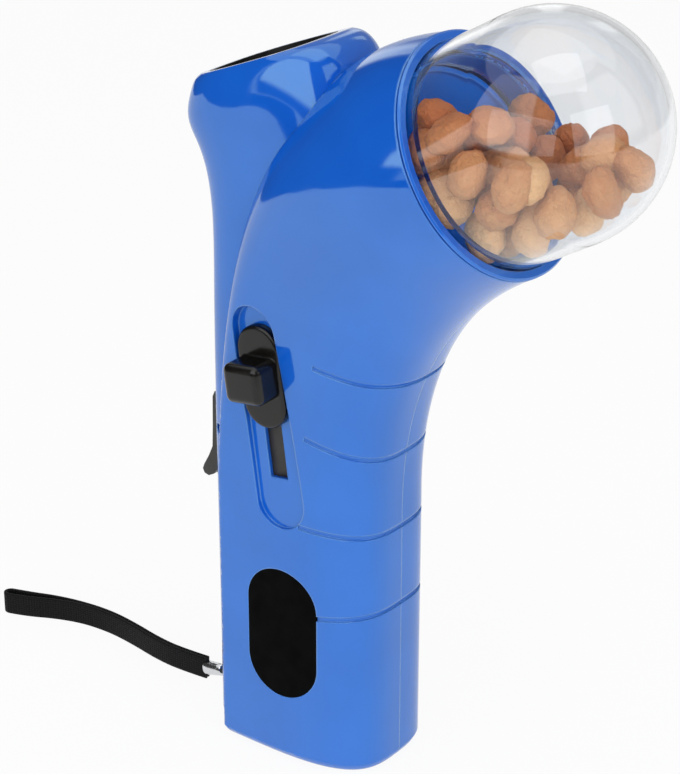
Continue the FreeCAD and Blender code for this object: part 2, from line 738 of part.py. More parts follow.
def make_housing():
    """Back strip and flared muzzle, with pin ears, spring plate, tube rib and strap lug."""
    wall = num("housing_wall")
    form = solid("housing_form", housing_form(0, num("housing_foot")))
    hollow = solid("housing_hollow", housing_form(wall, num("housing_foot") + wall))
    mouth = solid("mouth_cut", mouth_form(-0.03, 0.0, 12.0, 3.0))
    front = launch_box("strip_front", (-9.5, -60, -50), (80, 60, muzzle_split()))
    tube_outer = size("tube_bore") + size("tube_wall")
    strip = cut("housing_blank", form, [hollow, mouth, front])
    band = common("tube_rib_band", [hollow, launch_box("tube_rib_slab", (-60, -60, 150),
                                                       (60, 60, 153))])
    inside = common("housing_inside", [
        fuse("housing_ribs", [
            block("ear_near", WORLD, (-31.6, -12.4, 90.5), (-24.6, -9.8, 101.5)),
            block("ear_far", WORLD, (-31.6, 9.8, 90.5), (-24.6, 12.4, 101.5)),
            block("spring_plate", WORLD, (-26.0, -17.5, 79), (-24.6, 17.5, 89)),
            cylinder("peg_low", 2.0, size("handle_width") - size("shell_wall") * 2,
                     at(WORLD, -17.0, (num("handle_width") - 2 * num("shell_wall")) / 2, 36,
                        SIDE)),
        ]),
        solid("housing_reach", housing_form(wall * 0.5, num("housing_foot") + wall * 0.5)),
    ])
    lug = cut("strap_lug",
              fuse("strap_lug_blank",
                   [block("strap_lug_web", WORLD,
                          (size("lug_x"), -size("lug_thickness") * 0.5, size("lug_z") - 3.6),
                          (-32.4, size("lug_thickness") * 0.5, size("lug_z") + 3.6)),
                    cylinder("strap_lug_eye", size("lug_hole") + 1.5, size("lug_thickness"),
                             at(WORLD, num("lug_x"), num("lug_thickness") / 2, num("lug_z"),
                                SIDE))]),
              [cylinder("strap_lug_hole", size("lug_hole"), 20,
                        at(WORLD, num("lug_x"), 10, num("lug_z"), SIDE))])
    throat = cylinder("throat_hole", size("throat_radius") + size("funnel_wall") + 0.3, 60,
                      at(DOME, z=-num("funnel_depth") - 55))
    window = block("trigger_window", WORLD, (-60, -9.5, 71.5), (-28.6, 9.5, 104.6))
    whole = fuse("housing_whole", [strip, band, inside, lug])
    keep("muzzle_housing", cut("housing", whole, [
        throat, window,
        cylinder("tube_hole", tube_outer + 0.03, 100, at(LAUNCH, z=float(muzzle_split()))),
        cylinder("pin_hole", size("pin_radius"), 40,
                 at(WORLD, num("pivot_x"), 20, num("pivot_z"), SIDE)),
    ]))


def mouth_form(inset, below, depth, above):
    """The flared inside of the mouth, drawn in by inset: round at depth, oval at the mouth."""
    half, half_width, power = MOUTH_HALF
    wires = []
    if above > 0:
        wires.append(oval(MOUTH.multVec(Vector(0, 0, above)),
                          MOUTH.Rotation.multVec(Vector(1, 0, 0)),
                          half - inset, half - inset, half_width - inset, power, power))
    wires.append(oval(MOUTH.multVec(Vector(0, 0, -below)),
                      MOUTH.Rotation.multVec(Vector(1, 0, 0)),
                      half - inset, half - inset, half_width - inset, power, power))
    radius = num("tube_bore") + num("tube_wall") - inset
    wires.append(oval(LAUNCH.multVec(Vector(0, 0, num("tube_flare") + depth - 12.0)),
                      LAUNCH.Rotation.multVec(Vector(1, 0, 0)), radius, radius, radius, 2, 2))
    return skinned(wires)


def make_tube():
    """The black launch tube: straight bore, flared mouth, slot, feed and sear windows."""
    bore = size("tube_bore")
    outer = bore + size("tube_wall")
    foot = size("tube_foot")
    length = size("tube_flare") - foot
    straight = cylinder("tube_straight", outer, length, at(LAUNCH, z=float(foot)))
    flare = solid("tube_flare_form", mouth_form(0.0, 0.0, 12.0, 0.0))
    tube_bore = cylinder("tube_bore_cut", bore, length + 2, at(LAUNCH, z=float(foot) - 1))
    flare_bore = solid("tube_flare_bore", mouth_form(num("tube_wall") * 0.5, 0.0, 12.0, 3.0))
    lower_bore = cylinder("tube_flare_root", bore, 14, at(LAUNCH, z=num("tube_flare") - 1))
    slot = launch_box("tube_slot", (-3.0, -20, size("neck_foot") - size("travel") - 1.4),
                      (3.0, -9, size("neck_foot") + size("neck_length") + 3.6))
    throat = cylinder("feed_window", size("throat_radius"), 60,
                      at(DOME, z=-num("funnel_depth") - 42))
    sear = launch_box("sear_window", (-20, -3.4, 98.5), (-9, 3.4, 115))
    keep("launch_tube", cut("tube", fuse("tube_blank", [straight, flare]),
                            [tube_bore, flare_bore, lower_bore, slot, throat, sear]))
    top = size("neck_foot") + size("neck_length")
    keep("slider_bumper", common("bumper", [
        launch_box("bumper_block", (-3.0, -20, top + 0.3), (3.0, -9, top + 3.6)),
        cut("bumper_band", cylinder("bumper_outer", outer, 20, at(LAUNCH, z=float(top) - 5)),
            [cylinder("bumper_inner", bore + 0.2, 22, at(LAUNCH, z=float(top) - 6))])]))


# ---------------------------------------------------------------- plunger and slider

def make_plunger():
    """Plunger with spring hollow, sear groove and pad."""
    radius = size("tube_bore") - size("running_gap")
    foot = size("piston_foot")
    top = size("piston_top")
    pad_seat = top - size("pad_height")
    hollow = size("piston_hollow")
    floor = size("piston_floor")
    groove = floor - 1.0
    body = turned("plunger", LAUNCH, [
        (0, floor), (hollow, floor), (hollow, foot), (radius - 1.0, foot),
        (radius, foot + 1.0), (radius, groove - 2.2), (radius - 2.0, groove - 2.2),
        (radius - 2.0, groove + 2.2), (radius, groove + 2.2), (radius, top - 0.8),
        (radius - 0.8, top), (size("pad_radius"), top), (size("pad_radius"), pad_seat), (0, pad_seat)])
    half = size("neck_width") * 0.5
    pocket = launch_box("arm_pocket", (-half, -30, size("neck_foot")),
                        (half, -9.4, size("neck_foot") + size("neck_length")))
    keep("piston", cut("piston_cut", body, [pocket]))
    keep("piston_pad", turned("pad", LAUNCH, [
        (0, pad_seat), (size("pad_radius"), pad_seat), (size("pad_radius"), top - 0.5),
        (size("pad_radius") - 0.5, top), (0, top)]))


def make_slider():
    """Neck with shutter plate, and the knob outside."""
    side = size("handle_width") * 0.5
    floor = -side + size("recess_depth")
    inner = floor + size("recess_floor")
    half = size("neck_width") * 0.5
    low = size("neck_foot")
    high = low + size("neck_length")
    knob_back = floor - 0.15
    neck = launch_box("neck", (-half, knob_back, low), (half, -9.4, high))
    half_shutter = size("shutter_width") * 0.5
    shutter = launch_box("shutter", (-half_shutter, inner + 0.15, shutter_foot()),
                         (half_shutter, inner + 0.15 + size("shutter_thickness"), high + 2.6))
    spigot = launch_box("spigot", (-1.6, knob_back - 1.2, low + 2), (1.6, knob_back, high - 2))
    keep("slider_arm", fuse("arm", [neck, shutter, spigot]))
    plate = stadium("knob_plate", at(LAUNCH, 0, 0, float(knob_centre())),
                    size("knob_half_width"), size("knob_half_length"),
                    knob_back - size("knob_thickness"), knob_back)
    reach = -side - size("block_reach")
    half_block = size("block_width") * 0.5
    centre = knob_centre() + size("block_above")
    grip = launch_box("knob_block", (-half_block, reach, centre - size("block_height") * 0.5),
                      (half_block, knob_back - 1.0, centre + size("block_height") * 0.5))
    blank = fuse("knob_blank", [rounded("knob_plate_round", plate, num("plate_round"), "rim"),
                                rounded("knob_block_round", grip, num("block_round"), "box")])
    keep("slider_knob", cut("knob", blank, [
        launch_box("spigot_hole", (-1.6, knob_back - 1.2, low + 2), (1.6, knob_back, high - 2))]))


def rounded(name, obj, radius, where):
    """An object with its outward edges rounded: the outer rim of a plate or a whole block."""
    doc.recompute()
    edges = []
    lowest = min(v.Point.y for v in obj.Shape.Vertexes)
    for i, edge in enumerate(obj.Shape.Edges, 1):
        ys = [v.Point.y for v in edge.Vertexes]
        on_face = max(ys) - lowest < 0.01
        runs_back = min(ys) - lowest < 0.01 and max(ys) - lowest > 0.5
        if on_face or (where == "box" and runs_back):
            edges.append((i, radius, radius))
    obj_round = doc.addObject("Part::Fillet", name)
    obj_round.Base = obj
    obj_round.Edges = edges
    return obj_round


def coil(name, frame, mean_radius, wire, low, high, turns):
    """A round-wire compression spring with its ends inside low and high."""
    height = high - low - wire
    helix = Part.makeHelix(height / turns, height, mean_radius)
    start = helix.Vertexes[0].Point
    profile = Part.Wire([Part.makeCircle(wire / 2, start, Vector(0, 1, 0))])
    sweep = Part.Wire(helix.Edges).makePipeShell([profile], True, True)
    spring = solid(name, sweep)
    spring.Placement = at(frame, z=low + wire / 2)
    return spring


def make_springs():
    """Mainspring, its seat and guide rod."""
    seat_top = num("seat_foot") + num("seat_height")
    keep("mainspring", coil("mainspring_coil", LAUNCH, num("spring_outer") - num("spring_wire") / 2,
                            num("spring_wire"), seat_top, num("piston_floor"),
                            num("spring_turns")))
    foot = size("seat_foot")
    rod = size("rod_radius")
    keep("spring_seat", turned("seat", LAUNCH, [
        (rod, foot - 3.0), (6.0, foot - 3.0), (6.0, foot), (size("seat_radius"), foot),
        (size("seat_radius"), foot + size("seat_height")), (rod, foot + size("seat_height"))]))
    keep("guide_rod", turned("rod", LAUNCH, [
        (0, foot - 3.0), (rod, foot - 3.0), (rod, size("rod_top") - 1.0),
        (rod - 1.0, size("rod_top")), (0, size("rod_top"))]))


# ---------------------------------------------------------------- trigger

def make_trigger():
    """Push paddle with its pivot boss and sear arm, its pin and its return spring."""
    x = size("pivot_x")
    z = size("pivot_z")
    outline = [
        (x - 5.3, z + 7.6), (x - 7.6, z + 6.8), (x - 8.4, z + 5.0), (x - 8.6, z - 4.0),
        (x - 8.9, z - 11.0), (x - 10.4, z - 14.4), (x - 12.2, z - 17.6),
        (x - 12.8, z - 19.2), (x - 12.2, z - 20.5), (x - 10.6, z - 20.9), (x - 8.6, z - 19.8),
        (x - 6.8, z - 16.8), (x - 5.4, z - 12.5), (x - 5.2, z - 6.0), (x - 3.0, z - 2.6),
        (x - 0.4, z - 3.0), (x + 2.4, z - 1.8), (x + 3.0, z + 0.8), (x + 2.6, z + 9.0),
        (x + 8.5, z + 9.0), (x + 8.9, z + 12.4), (x - 1.0, z + 12.4), (x - 1.4, z + 3.6),
        (x - 4.6, z + 4.6)]
    paddle = padded("paddle", WORLD, "XZ_Plane", outline, size("trigger_half_width") * 2)
    narrow = size("trigger_half_width") + 1.0
    arm_side = 3.0
    trims = [
        block("arm_trim_near", WORLD, (x - 1.5, -narrow, z + 4.0), (x + 20.0, -arm_side, z + 20.0)),
        block("arm_trim_far", WORLD, (x - 1.5, arm_side, z + 4.0), (x + 20.0, narrow, z + 20.0)),
        cylinder("trigger_bore", size("pin_radius") + 0.05, 40,
                 at(WORLD, float(x), 20, float(z), SIDE)),
        cylinder("trigger_spring_seat", size("trigger_spring_outer") + 0.4, 0.8,
                 at(WORLD, float(x) - 5.95, 0, num("trigger_spring_z"), Rotation(ACROSS, 90))),
    ]
    keep("trigger", cut("trigger_cut", paddle, trims))
    keep("trigger_pin", cylinder("pin", size("pin_radius"), size("pin_half_length") * 2,
                                 at(WORLD, float(x), num("pin_half_length"), float(z), SIDE)))
    frame = at(WORLD, 0, 0, num("trigger_spring_z"), Rotation(ACROSS, -90))
    keep("trigger_spring", coil("trigger_coil", frame,
                                num("trigger_spring_outer") - num("trigger_spring_wire") / 2,
                                num("trigger_spring_wire"), 26.0, -float(x) + 5.9, 4.5))


# ---------------------------------------------------------------- dome, collar, funnel

def ring(name, frame, outer, inner, low, high):
    """A plain ring between two heights of a frame."""
    outer, inner, low, high = [as_term(v) for v in (outer, inner, low, high)]
    return cut(name, cylinder(name + "_outer", outer, high - low, at(frame, z=float(low))),
               [cylinder(name + "_inner", inner, high - low + 2, at(frame, z=float(low) - 1))])


def sector(name, frame, outer, inner, low, high, start, sweep):
    """A piece of a ring."""
    body = doc.addObject("Part::Cylinder", name + "_wedge")
    low, high = as_term(low), as_term(high)
    bind(body, Radius=outer, Height=high - low, Angle=sweep)
    body.Placement = at(frame, z=float(low), turn=Rotation(UP, start))
    return cut(name, body, [cylinder(name + "_core", inner, high - low + 2,
                                     at(frame, z=float(low) - 1))])


def make_dome():
    """The clear dome with its skirt and three bayonet lugs, and the seal under its step."""
    outer = size("dome_outer")
    inner = outer - size("dome_wall")
    centre = size("dome_straight")
    step = size("dome_step")
    skirt = size("skirt_outer")
    bore = skirt - size("skirt_wall")
    end = size("skirt_length")
    above = cylinder("dome_above", 60, 90, at(DOME, z=-float(step)))
    skin = common("dome_skin", [above, fuse("dome_skin_form", [
        ball("dome_ball", outer, at(DOME, z=float(centre))),
        cylinder("dome_wall_form", outer, centre + step, at(DOME, z=-float(step)))])])
    above_ledge = cylinder("dome_above_ledge", 60, 90, at(DOME, z=1.0))
    hollow = common("dome_hollow", [above_ledge, fuse("dome_hollow_form", [
        ball("dome_hollow_ball", inner, at(DOME, z=float(centre))),
        cylinder("dome_hollow_wall", inner, centre - 1.0, at(DOME, z=1.0))])])
    neck = cylinder("dome_skirt", skirt, end - step, at(DOME, z=-float(end)))
    way = cylinder("dome_way", bore, end + 2.5, at(DOME, z=-float(end) - 1))
    shell = cut("dome_shell", fuse("dome_blank", [skin, neck]), [hollow, way])
    lugs = [sector(f"dome_lug_{k}", DOME, skirt + size("lug_reach"), skirt - 0.4,
                   -end + 1.0, -end + 1.0 + size("lug_height"), lug_start(k), size("lug_angle"))
            for k in range(3)]
    keep("dome", fuse("dome_whole", [shell] + lugs))
    keep("dome_seal", ring("seal", DOME, outer - 0.15, skirt + 0.15,
                           -step - size("seal_height"), -step))


def lug_start(k):
    """Where bayonet lug k starts, in degrees about the dome axis."""
    return 120.0 * k + 40.0


def make_collar():
    """The collar ring: flange with a shadow line, spigot in the neck, bayonet tracks."""
    outer = size("collar_outer")
    flange = size("collar_length")
    gap = size("running_gap")
    bore = size("skirt_outer") + gap
    seat = size("dome_step") + size("seal_height") + size("running_gap")
    spigot_outer = outer - size("socket_wall") - size("spigot_play")
    end = flange + size("collar_spigot")
    blank = turned("collar_blank", DOME, [
        (bore, -end), (spigot_outer, -end), (spigot_outer, -flange), (outer - 1.0, -flange),
        (outer - 1.0, -flange + size("parting_gap")), (outer - 0.3, -flange + size("parting_gap")),
        (outer - 0.05, -flange + size("parting_gap") + 0.2), (outer - 0.05, -0.5), (outer - 0.5, 0),
        (size("dome_outer") + gap + 0.3, 0), (size("dome_outer") + gap, -0.3),
        (size("dome_outer") + gap, -seat), (bore, -seat)])
    lug_low = -size("skirt_length") + 1.0
    lug_high = lug_low + size("lug_height")
    room = size("skirt_outer") + size("lug_reach") + 0.1
    tracks = []
    for k in range(3):
        start = lug_start(k)
        span = size("twist_angle") + size("lug_angle") + 1.0
        tracks.append(sector(f"track_{k}", DOME, room, bore - 1.0, lug_low - 0.1,
                             lug_high + 0.1, start - 0.5, span))
        tracks.append(sector(f"entry_{k}", DOME, room, bore - 1.0, lug_low - 0.1, -seat + 0.1,
                             start + num("twist_angle") - 0.5, size("lug_angle") + 1.0))
    keep("dome_collar", cut("collar", blank, tracks))


def make_funnel():
    """The hopper funnel: cone behind the collar, throat to the launch tube's feed window."""
    wall = size("funnel_wall")
    throat = size("throat_radius")
    top = size("collar_length") + size("collar_spigot") + 0.2
    mouth = size("collar_outer") - size("shell_wall") - 3.4
    deep = size("funnel_depth")
    end = deep + 40.0
    blank = turned("funnel_blank", DOME, [
        (mouth - wall, -top), (mouth, -top), (mouth, -top - 1.5), (throat + wall, -deep),
        (throat + wall, -end), (throat, -end), (throat, -deep + 0.6), (mouth - wall, -top - 1.5)])
    tube = cylinder("funnel_tube_room", size("tube_bore") + size("tube_wall"), 140,
                    at(LAUNCH, z=80))
    behind = block("funnel_behind", LAUNCH, (-60, -60, 0), (0, 60, 300))
    keep("hopper_funnel", cut("funnel", blank, [tube, behind]))


# ---------------------------------------------------------------- strap and contents

def rounded_path(points):
    """Straight runs joined by tangent arcs as large as the runs allow, and the radii."""
    points = [Vector(*p) for p in points]
    edges = []
    radii = []
    start = points[0]
    for i in range(1, len(points) - 1):
        before = points[i] - points[i - 1]
        after = points[i + 1] - points[i]
        run = min(before.Length, after.Length)
        turn = before.getAngle(after)
        radius = 0.45 * run / math.tan(turn / 2)
        trim = radius * math.tan(turn / 2)
        enter = points[i] - Vector(before).normalize() * trim
        leave = points[i] + Vector(after).normalize() * trim
        bisector = (Vector(after).normalize() - Vector(before).normalize()).normalize()
        middle = points[i] + bisector * (radius / math.cos(turn / 2) - radius)
        edges.append(Part.LineSegment(start, enter).toShape())
        edges.append(Part.Arc(enter, middle, leave).toShape())
        start = leave
        radii.append(radius)
    edges.append(Part.LineSegment(start, points[-1]).toShape())
    return Part.Wire(edges), radii


def make_strap():
    """Cord loop through the lug, metal crimp, and the doubled webbing standing on edge."""
    cord_path, cord_radii = rounded_path(CORD_ROUTE)
    radius = num("cord_diameter") / 2
    start = Vector(*CORD_ROUTE[0])
    first = Vector(*CORD_ROUTE[1]) - start
    profile = Part.Wire([Part.makeCircle(radius, start, first)])
    cord = cord_path.makePipeShell([profile], True, True)
    keep("strap_cord", solid("cord", cord))
    expected = math.pi * radius ** 2 * cord_path.Length
    print("cord radii", [round(r, 1) for r in cord_radii], "length", round(cord_path.Length, 1),
          "volume ratio", round(cord.Volume / expected, 3))

    height = num("strap_width")
    route = [(x, y, STRAP_FLOOR + height / 2) for x, y in STRAP_ROUTE]
    path, radii = rounded_path(route)
    half = num("strap_thickness") / 2
    begin = Vector(*route[0])
    along = (Vector(*route[1]) - begin).normalize()
    aside = along.cross(UP)
    corners = [begin + aside * (half * a) + UP * (height / 2 * b)
               for a, b in ((-1, -1), (1, -1), (1, 1), (-1, 1), (-1, -1))]
    band = path.makePipeShell([Part.makePolygon(corners)], True, True)
    keep("wrist_strap", solid("band", band))
    expected = 2 * half * height * path.Length
    print("strap radii", [round(r, 1) for r in radii], "length", round(path.Length, 1),
          "volume ratio", round(band.Volume / expected, 3))

    cord_end = (Vector(*CORD_ROUTE[0]) + Vector(*CORD_ROUTE[-1])) * 0.5
    to_strap = begin - cord_end
    frame = Placement(cord_end, Rotation(UP, to_strap))
    crimp = cylinder("crimp", size("crimp_radius"), to_strap.Length, frame)
    keep("strap_crimp", crimp)


def inside_hopper(place, radius):
    """Whether a ball fits inside dome and collar with a little air."""
    local = DOME.inverse().multVec(place)
    side = math.hypot(local.x, local.y)
    dome_bore = num("dome_outer") - num("dome_wall")
    skirt_bore = num("skirt_outer") - num("skirt_wall")
    air = radius + 0.35
    if local.z < -3.0:
        return False
    if local.z < 1.0 + radius:
        return side < skirt_bore - air
    above = max(0.0, local.z - num("dome_straight"))
    return math.hypot(side, above) < dome_bore - air


def settle(radius, level):
    """Centres of balls packed by gravity: each goes to the lowest place that is left."""
    step = 1.7
    column = [(30 + step * i, -24 + step * k) for i in range(40) for k in range(29)]
    lowest = {}
    for x, y in column:
        z = 165.0
        while z < level and not inside_hopper(Vector(x, y, z), radius):
            z += 0.5
        if z < level:
            lowest[(x, y)] = z
    centres = []
    apart = 2 * radius + 0.25
    while lowest:
        spot = min(lowest, key=lambda p: (lowest[p], p[0], abs(p[1])))
        centre = Vector(spot[0], spot[1], lowest[spot])
        centres.append(centre)
        for x, y in list(lowest):
            flat = (x - centre.x) ** 2 + (y - centre.y) ** 2
            if flat < apart ** 2:
                z = max(lowest[(x, y)], centre.z + math.sqrt(apart ** 2 - flat))
                top = level - 0.12 * (x - num("collar_x"))
                if z < top and inside_hopper(Vector(x, y, z), radius):
                    lowest[(x, y)] = z
                else:
                    del lowest[(x, y)]
    return centres


def make_treats():
    """Kibble that lies in the dome up to a sloping surface."""
    links = []
    for i, centre in enumerate(settle(num("treat_radius"), num("treat_level"))):
        treat = doc.addObject("Part::Sphere", f"treat_{i}")
        bind(treat, Radius=size("treat_radius"))
        treat.Placement = at(WORLD, *centre)
        links.append(treat)
    group = doc.addObject("Part::Compound", "kibble")
    group.Links = links
    print("treats", len(links))
    keep("treats", group)


def build():
    """Make every sub-part."""
    make_shells()
    make_screws()
    make_housing()
    make_tube()
    make_plunger()
    make_slider()
    make_springs()
    make_trigger()
    make_dome()
    make_collar()
    make_funnel()
    make_strap()
    make_treats()
    doc.recompute()
    lift = Placement(Vector(0, 0, num("base_drop")), Rotation())
    for obj in parts.values():
        obj.Placement = lift.multiply(obj.Placement)
    doc.recompute()


def write():
    """Check every object and export the sub-parts."""
    for obj in doc.Objects:
        if "Invalid" in obj.State or "Error" in obj.State:
            raise RuntimeError(f"{obj.Name} failed: {obj.State}")
    os.makedirs("parts", exist_ok=True)
    for node, obj in parts.items():
        shape = obj.Shape
        if shape.isNull() or not shape.isValid():
            raise RuntimeError(f"{node} has no valid shape")
    for node, obj in parts.items():
        obj.Shape.exportStep(f"parts/{node}.step")
        box = obj.Shape.BoundBox
        print(f"{node:16s} solids {len(obj.Shape.Solids)} volume {obj.Shape.Volume:9.1f} "
              f"x {box.XMin:7.1f} {box.XMax:7.1f} y {box.YMin:6.1f} {box.YMax:6.1f} "
              f"z {box.ZMin:6.1f} {box.ZMax:6.1f}")


build()
write()
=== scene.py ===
"""Looks of a hand-held spring launcher for pet treats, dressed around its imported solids."""

import json
import logging
import math
from collections.abc import Callable, Iterator, Sequence
from contextlib import contextmanager
from dataclasses import dataclass
from enum import Enum

import bmesh
import bpy
import numpy as np
from mathutils import Matrix, Vector, kdtree

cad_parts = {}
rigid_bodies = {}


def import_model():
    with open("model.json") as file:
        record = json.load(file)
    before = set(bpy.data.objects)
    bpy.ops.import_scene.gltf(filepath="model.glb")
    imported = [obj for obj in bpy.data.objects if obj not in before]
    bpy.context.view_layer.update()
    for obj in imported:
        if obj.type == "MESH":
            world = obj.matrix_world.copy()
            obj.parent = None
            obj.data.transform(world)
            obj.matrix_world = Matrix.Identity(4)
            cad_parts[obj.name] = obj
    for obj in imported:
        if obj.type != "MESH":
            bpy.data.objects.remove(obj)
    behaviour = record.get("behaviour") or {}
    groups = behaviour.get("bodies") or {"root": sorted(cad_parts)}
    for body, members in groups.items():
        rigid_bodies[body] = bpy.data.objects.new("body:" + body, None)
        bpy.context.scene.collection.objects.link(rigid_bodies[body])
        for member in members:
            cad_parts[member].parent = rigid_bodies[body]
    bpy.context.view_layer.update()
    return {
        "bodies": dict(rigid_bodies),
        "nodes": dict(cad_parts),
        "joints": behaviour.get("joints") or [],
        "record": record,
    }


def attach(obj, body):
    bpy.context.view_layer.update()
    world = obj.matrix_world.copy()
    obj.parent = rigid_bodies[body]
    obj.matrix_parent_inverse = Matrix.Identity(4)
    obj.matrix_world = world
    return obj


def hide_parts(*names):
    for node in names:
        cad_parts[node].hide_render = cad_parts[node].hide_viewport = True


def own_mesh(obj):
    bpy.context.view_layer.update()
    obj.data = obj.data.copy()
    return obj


LOG = logging.getLogger("treat_launcher")
MM = 0.001
# the part of a noise's range where nearly all of it lies
NOISE_SPAN = (0.3, 0.7)

Socket = bpy.types.NodeSocket
Tree = bpy.types.NodeTree
Piece = bpy.types.Object


# ---------------------------------------------------------------- small helpers

def linear(code: str) -> tuple[float, float, float, float]:
    """Turn an sRGB hex colour into a linear one.

    Args:
        code: six hex digits.
    Returns:
        Red, green, blue and an alpha of 1.
    """
    parts = [int(code[i:i + 2], 16) / 255 for i in (0, 2, 4)]
    bright = [p / 12.92 if p <= 0.04045 else ((p + 0.055) / 1.055) ** 2.4 for p in parts]
    return (bright[0], bright[1], bright[2], 1.0)


def add_node(tree: Tree, kind: str, inputs: dict | None = None, **settings) -> bpy.types.Node:
    """Add a node, set its properties and fill or link its inputs.

    Args:
        tree: the node tree.
        kind: the node's type name.
        inputs: socket name or index to a value or to another node's output.
        settings: properties of the node itself.
    Returns:
        The new node.
    """
    node = tree.nodes.new(kind)
    for name, value in settings.items():
        setattr(node, name, value)
    for key, value in (inputs or {}).items():
        socket = node.inputs[key]
        if isinstance(value, bpy.types.NodeSocket):
            tree.links.new(value, socket)
        else:
            socket.default_value = value
    return node


def per_mm(size_mm: float) -> float:
    """Texture scale whose features are about that size."""
    return 1.0 / (size_mm * MM)


def new_piece(name: str, mesh: bpy.types.Mesh) -> Piece:
    """Link a mesh as a piece.

    Args:
        name: the piece's name.
        mesh: its mesh.
    Returns:
        The piece.
    """
    piece = bpy.data.objects.new(name, mesh)
    bpy.context.scene.collection.objects.link(piece)
    return piece


def mesh_from(name: str, points: Sequence, faces: Sequence) -> bpy.types.Mesh:
    """Make a mesh.

    Args:
        name: the mesh's name.
        points: its points, in metres.
        faces: its faces, as numbers of points.
    Returns:
        The mesh.
    """
    mesh = bpy.data.meshes.new(name)
    mesh.from_pydata([tuple(p) for p in points], [], [tuple(f) for f in faces])
    mesh.update()
    return mesh


@contextmanager
def open_mesh(mesh: bpy.types.Mesh) -> Iterator[bmesh.types.BMesh]:
    """Lend a mesh as a bmesh, and write it back.

    Args:
        mesh: the mesh.
    Yields:
        The bmesh.
    """
    bm = bmesh.new()
    bm.from_mesh(mesh)
    yield bm
    bm.to_mesh(mesh)
    bm.free()


def smooth_by_angle(mesh: bpy.types.Mesh, degrees: float = 32.0) -> None:
    """Shade a mesh smooth, with edges sharper than that angle kept crisp.

    Args:
        mesh: the mesh to shade.
        degrees: the angle.
    """
    limit = math.radians(degrees)
    with open_mesh(mesh) as bm:
        for face in bm.faces:
            face.smooth = True
        for edge in bm.edges:
            edge.smooth = not (edge.is_manifold and edge.calc_face_angle(0.0) > limit)


def faces_out(mesh: bpy.types.Mesh, merge: bool = True) -> None:
    """Turn every face outwards.

    Args:
        mesh: the mesh.
        merge: whether its doubles are merged first.
    """
    with open_mesh(mesh) as bm:
        if merge:
            bmesh.ops.remove_doubles(bm, verts=bm.verts, dist=1e-6)
        bmesh.ops.recalc_face_normals(bm, faces=bm.faces)


def baked(piece: Piece) -> Piece:
    """Turn a piece with modifiers into a plain mesh of the same name.

    Args:
        piece: an object whose modifiers are to be kept as mesh.
    Returns:
        The plain mesh object.
    """
    graph = bpy.context.evaluated_depsgraph_get()
    mesh = bpy.data.meshes.new_from_object(piece.evaluated_get(graph))
    name = piece.name
    bpy.data.objects.remove(piece)
    mesh.name = name
    return new_piece(name, mesh)


def sweep_grid(rings: np.ndarray, close_ends: bool) -> tuple[np.ndarray, list]:
    """Points and faces of a skin through closed rings.

    Args:
        rings: rings x points x 3.
        close_ends: whether both ends get a flat cap.
    Returns:
        The points and the faces.
    """
    rows, count, _ = rings.shape
    faces = []
    for i in range(rows - 1):
        for k in range(count):
            n = (k + 1) % count
            faces.append((i * count + k, i * count + n, (i + 1) * count + n, (i + 1) * count + k))
    if close_ends:
        faces.append(tuple(reversed(range(count))))
        faces.append(tuple(range((rows - 1) * count, rows * count)))
    return rings.reshape(-1, 3), faces


# ---------------------------------------------------------------- finishes

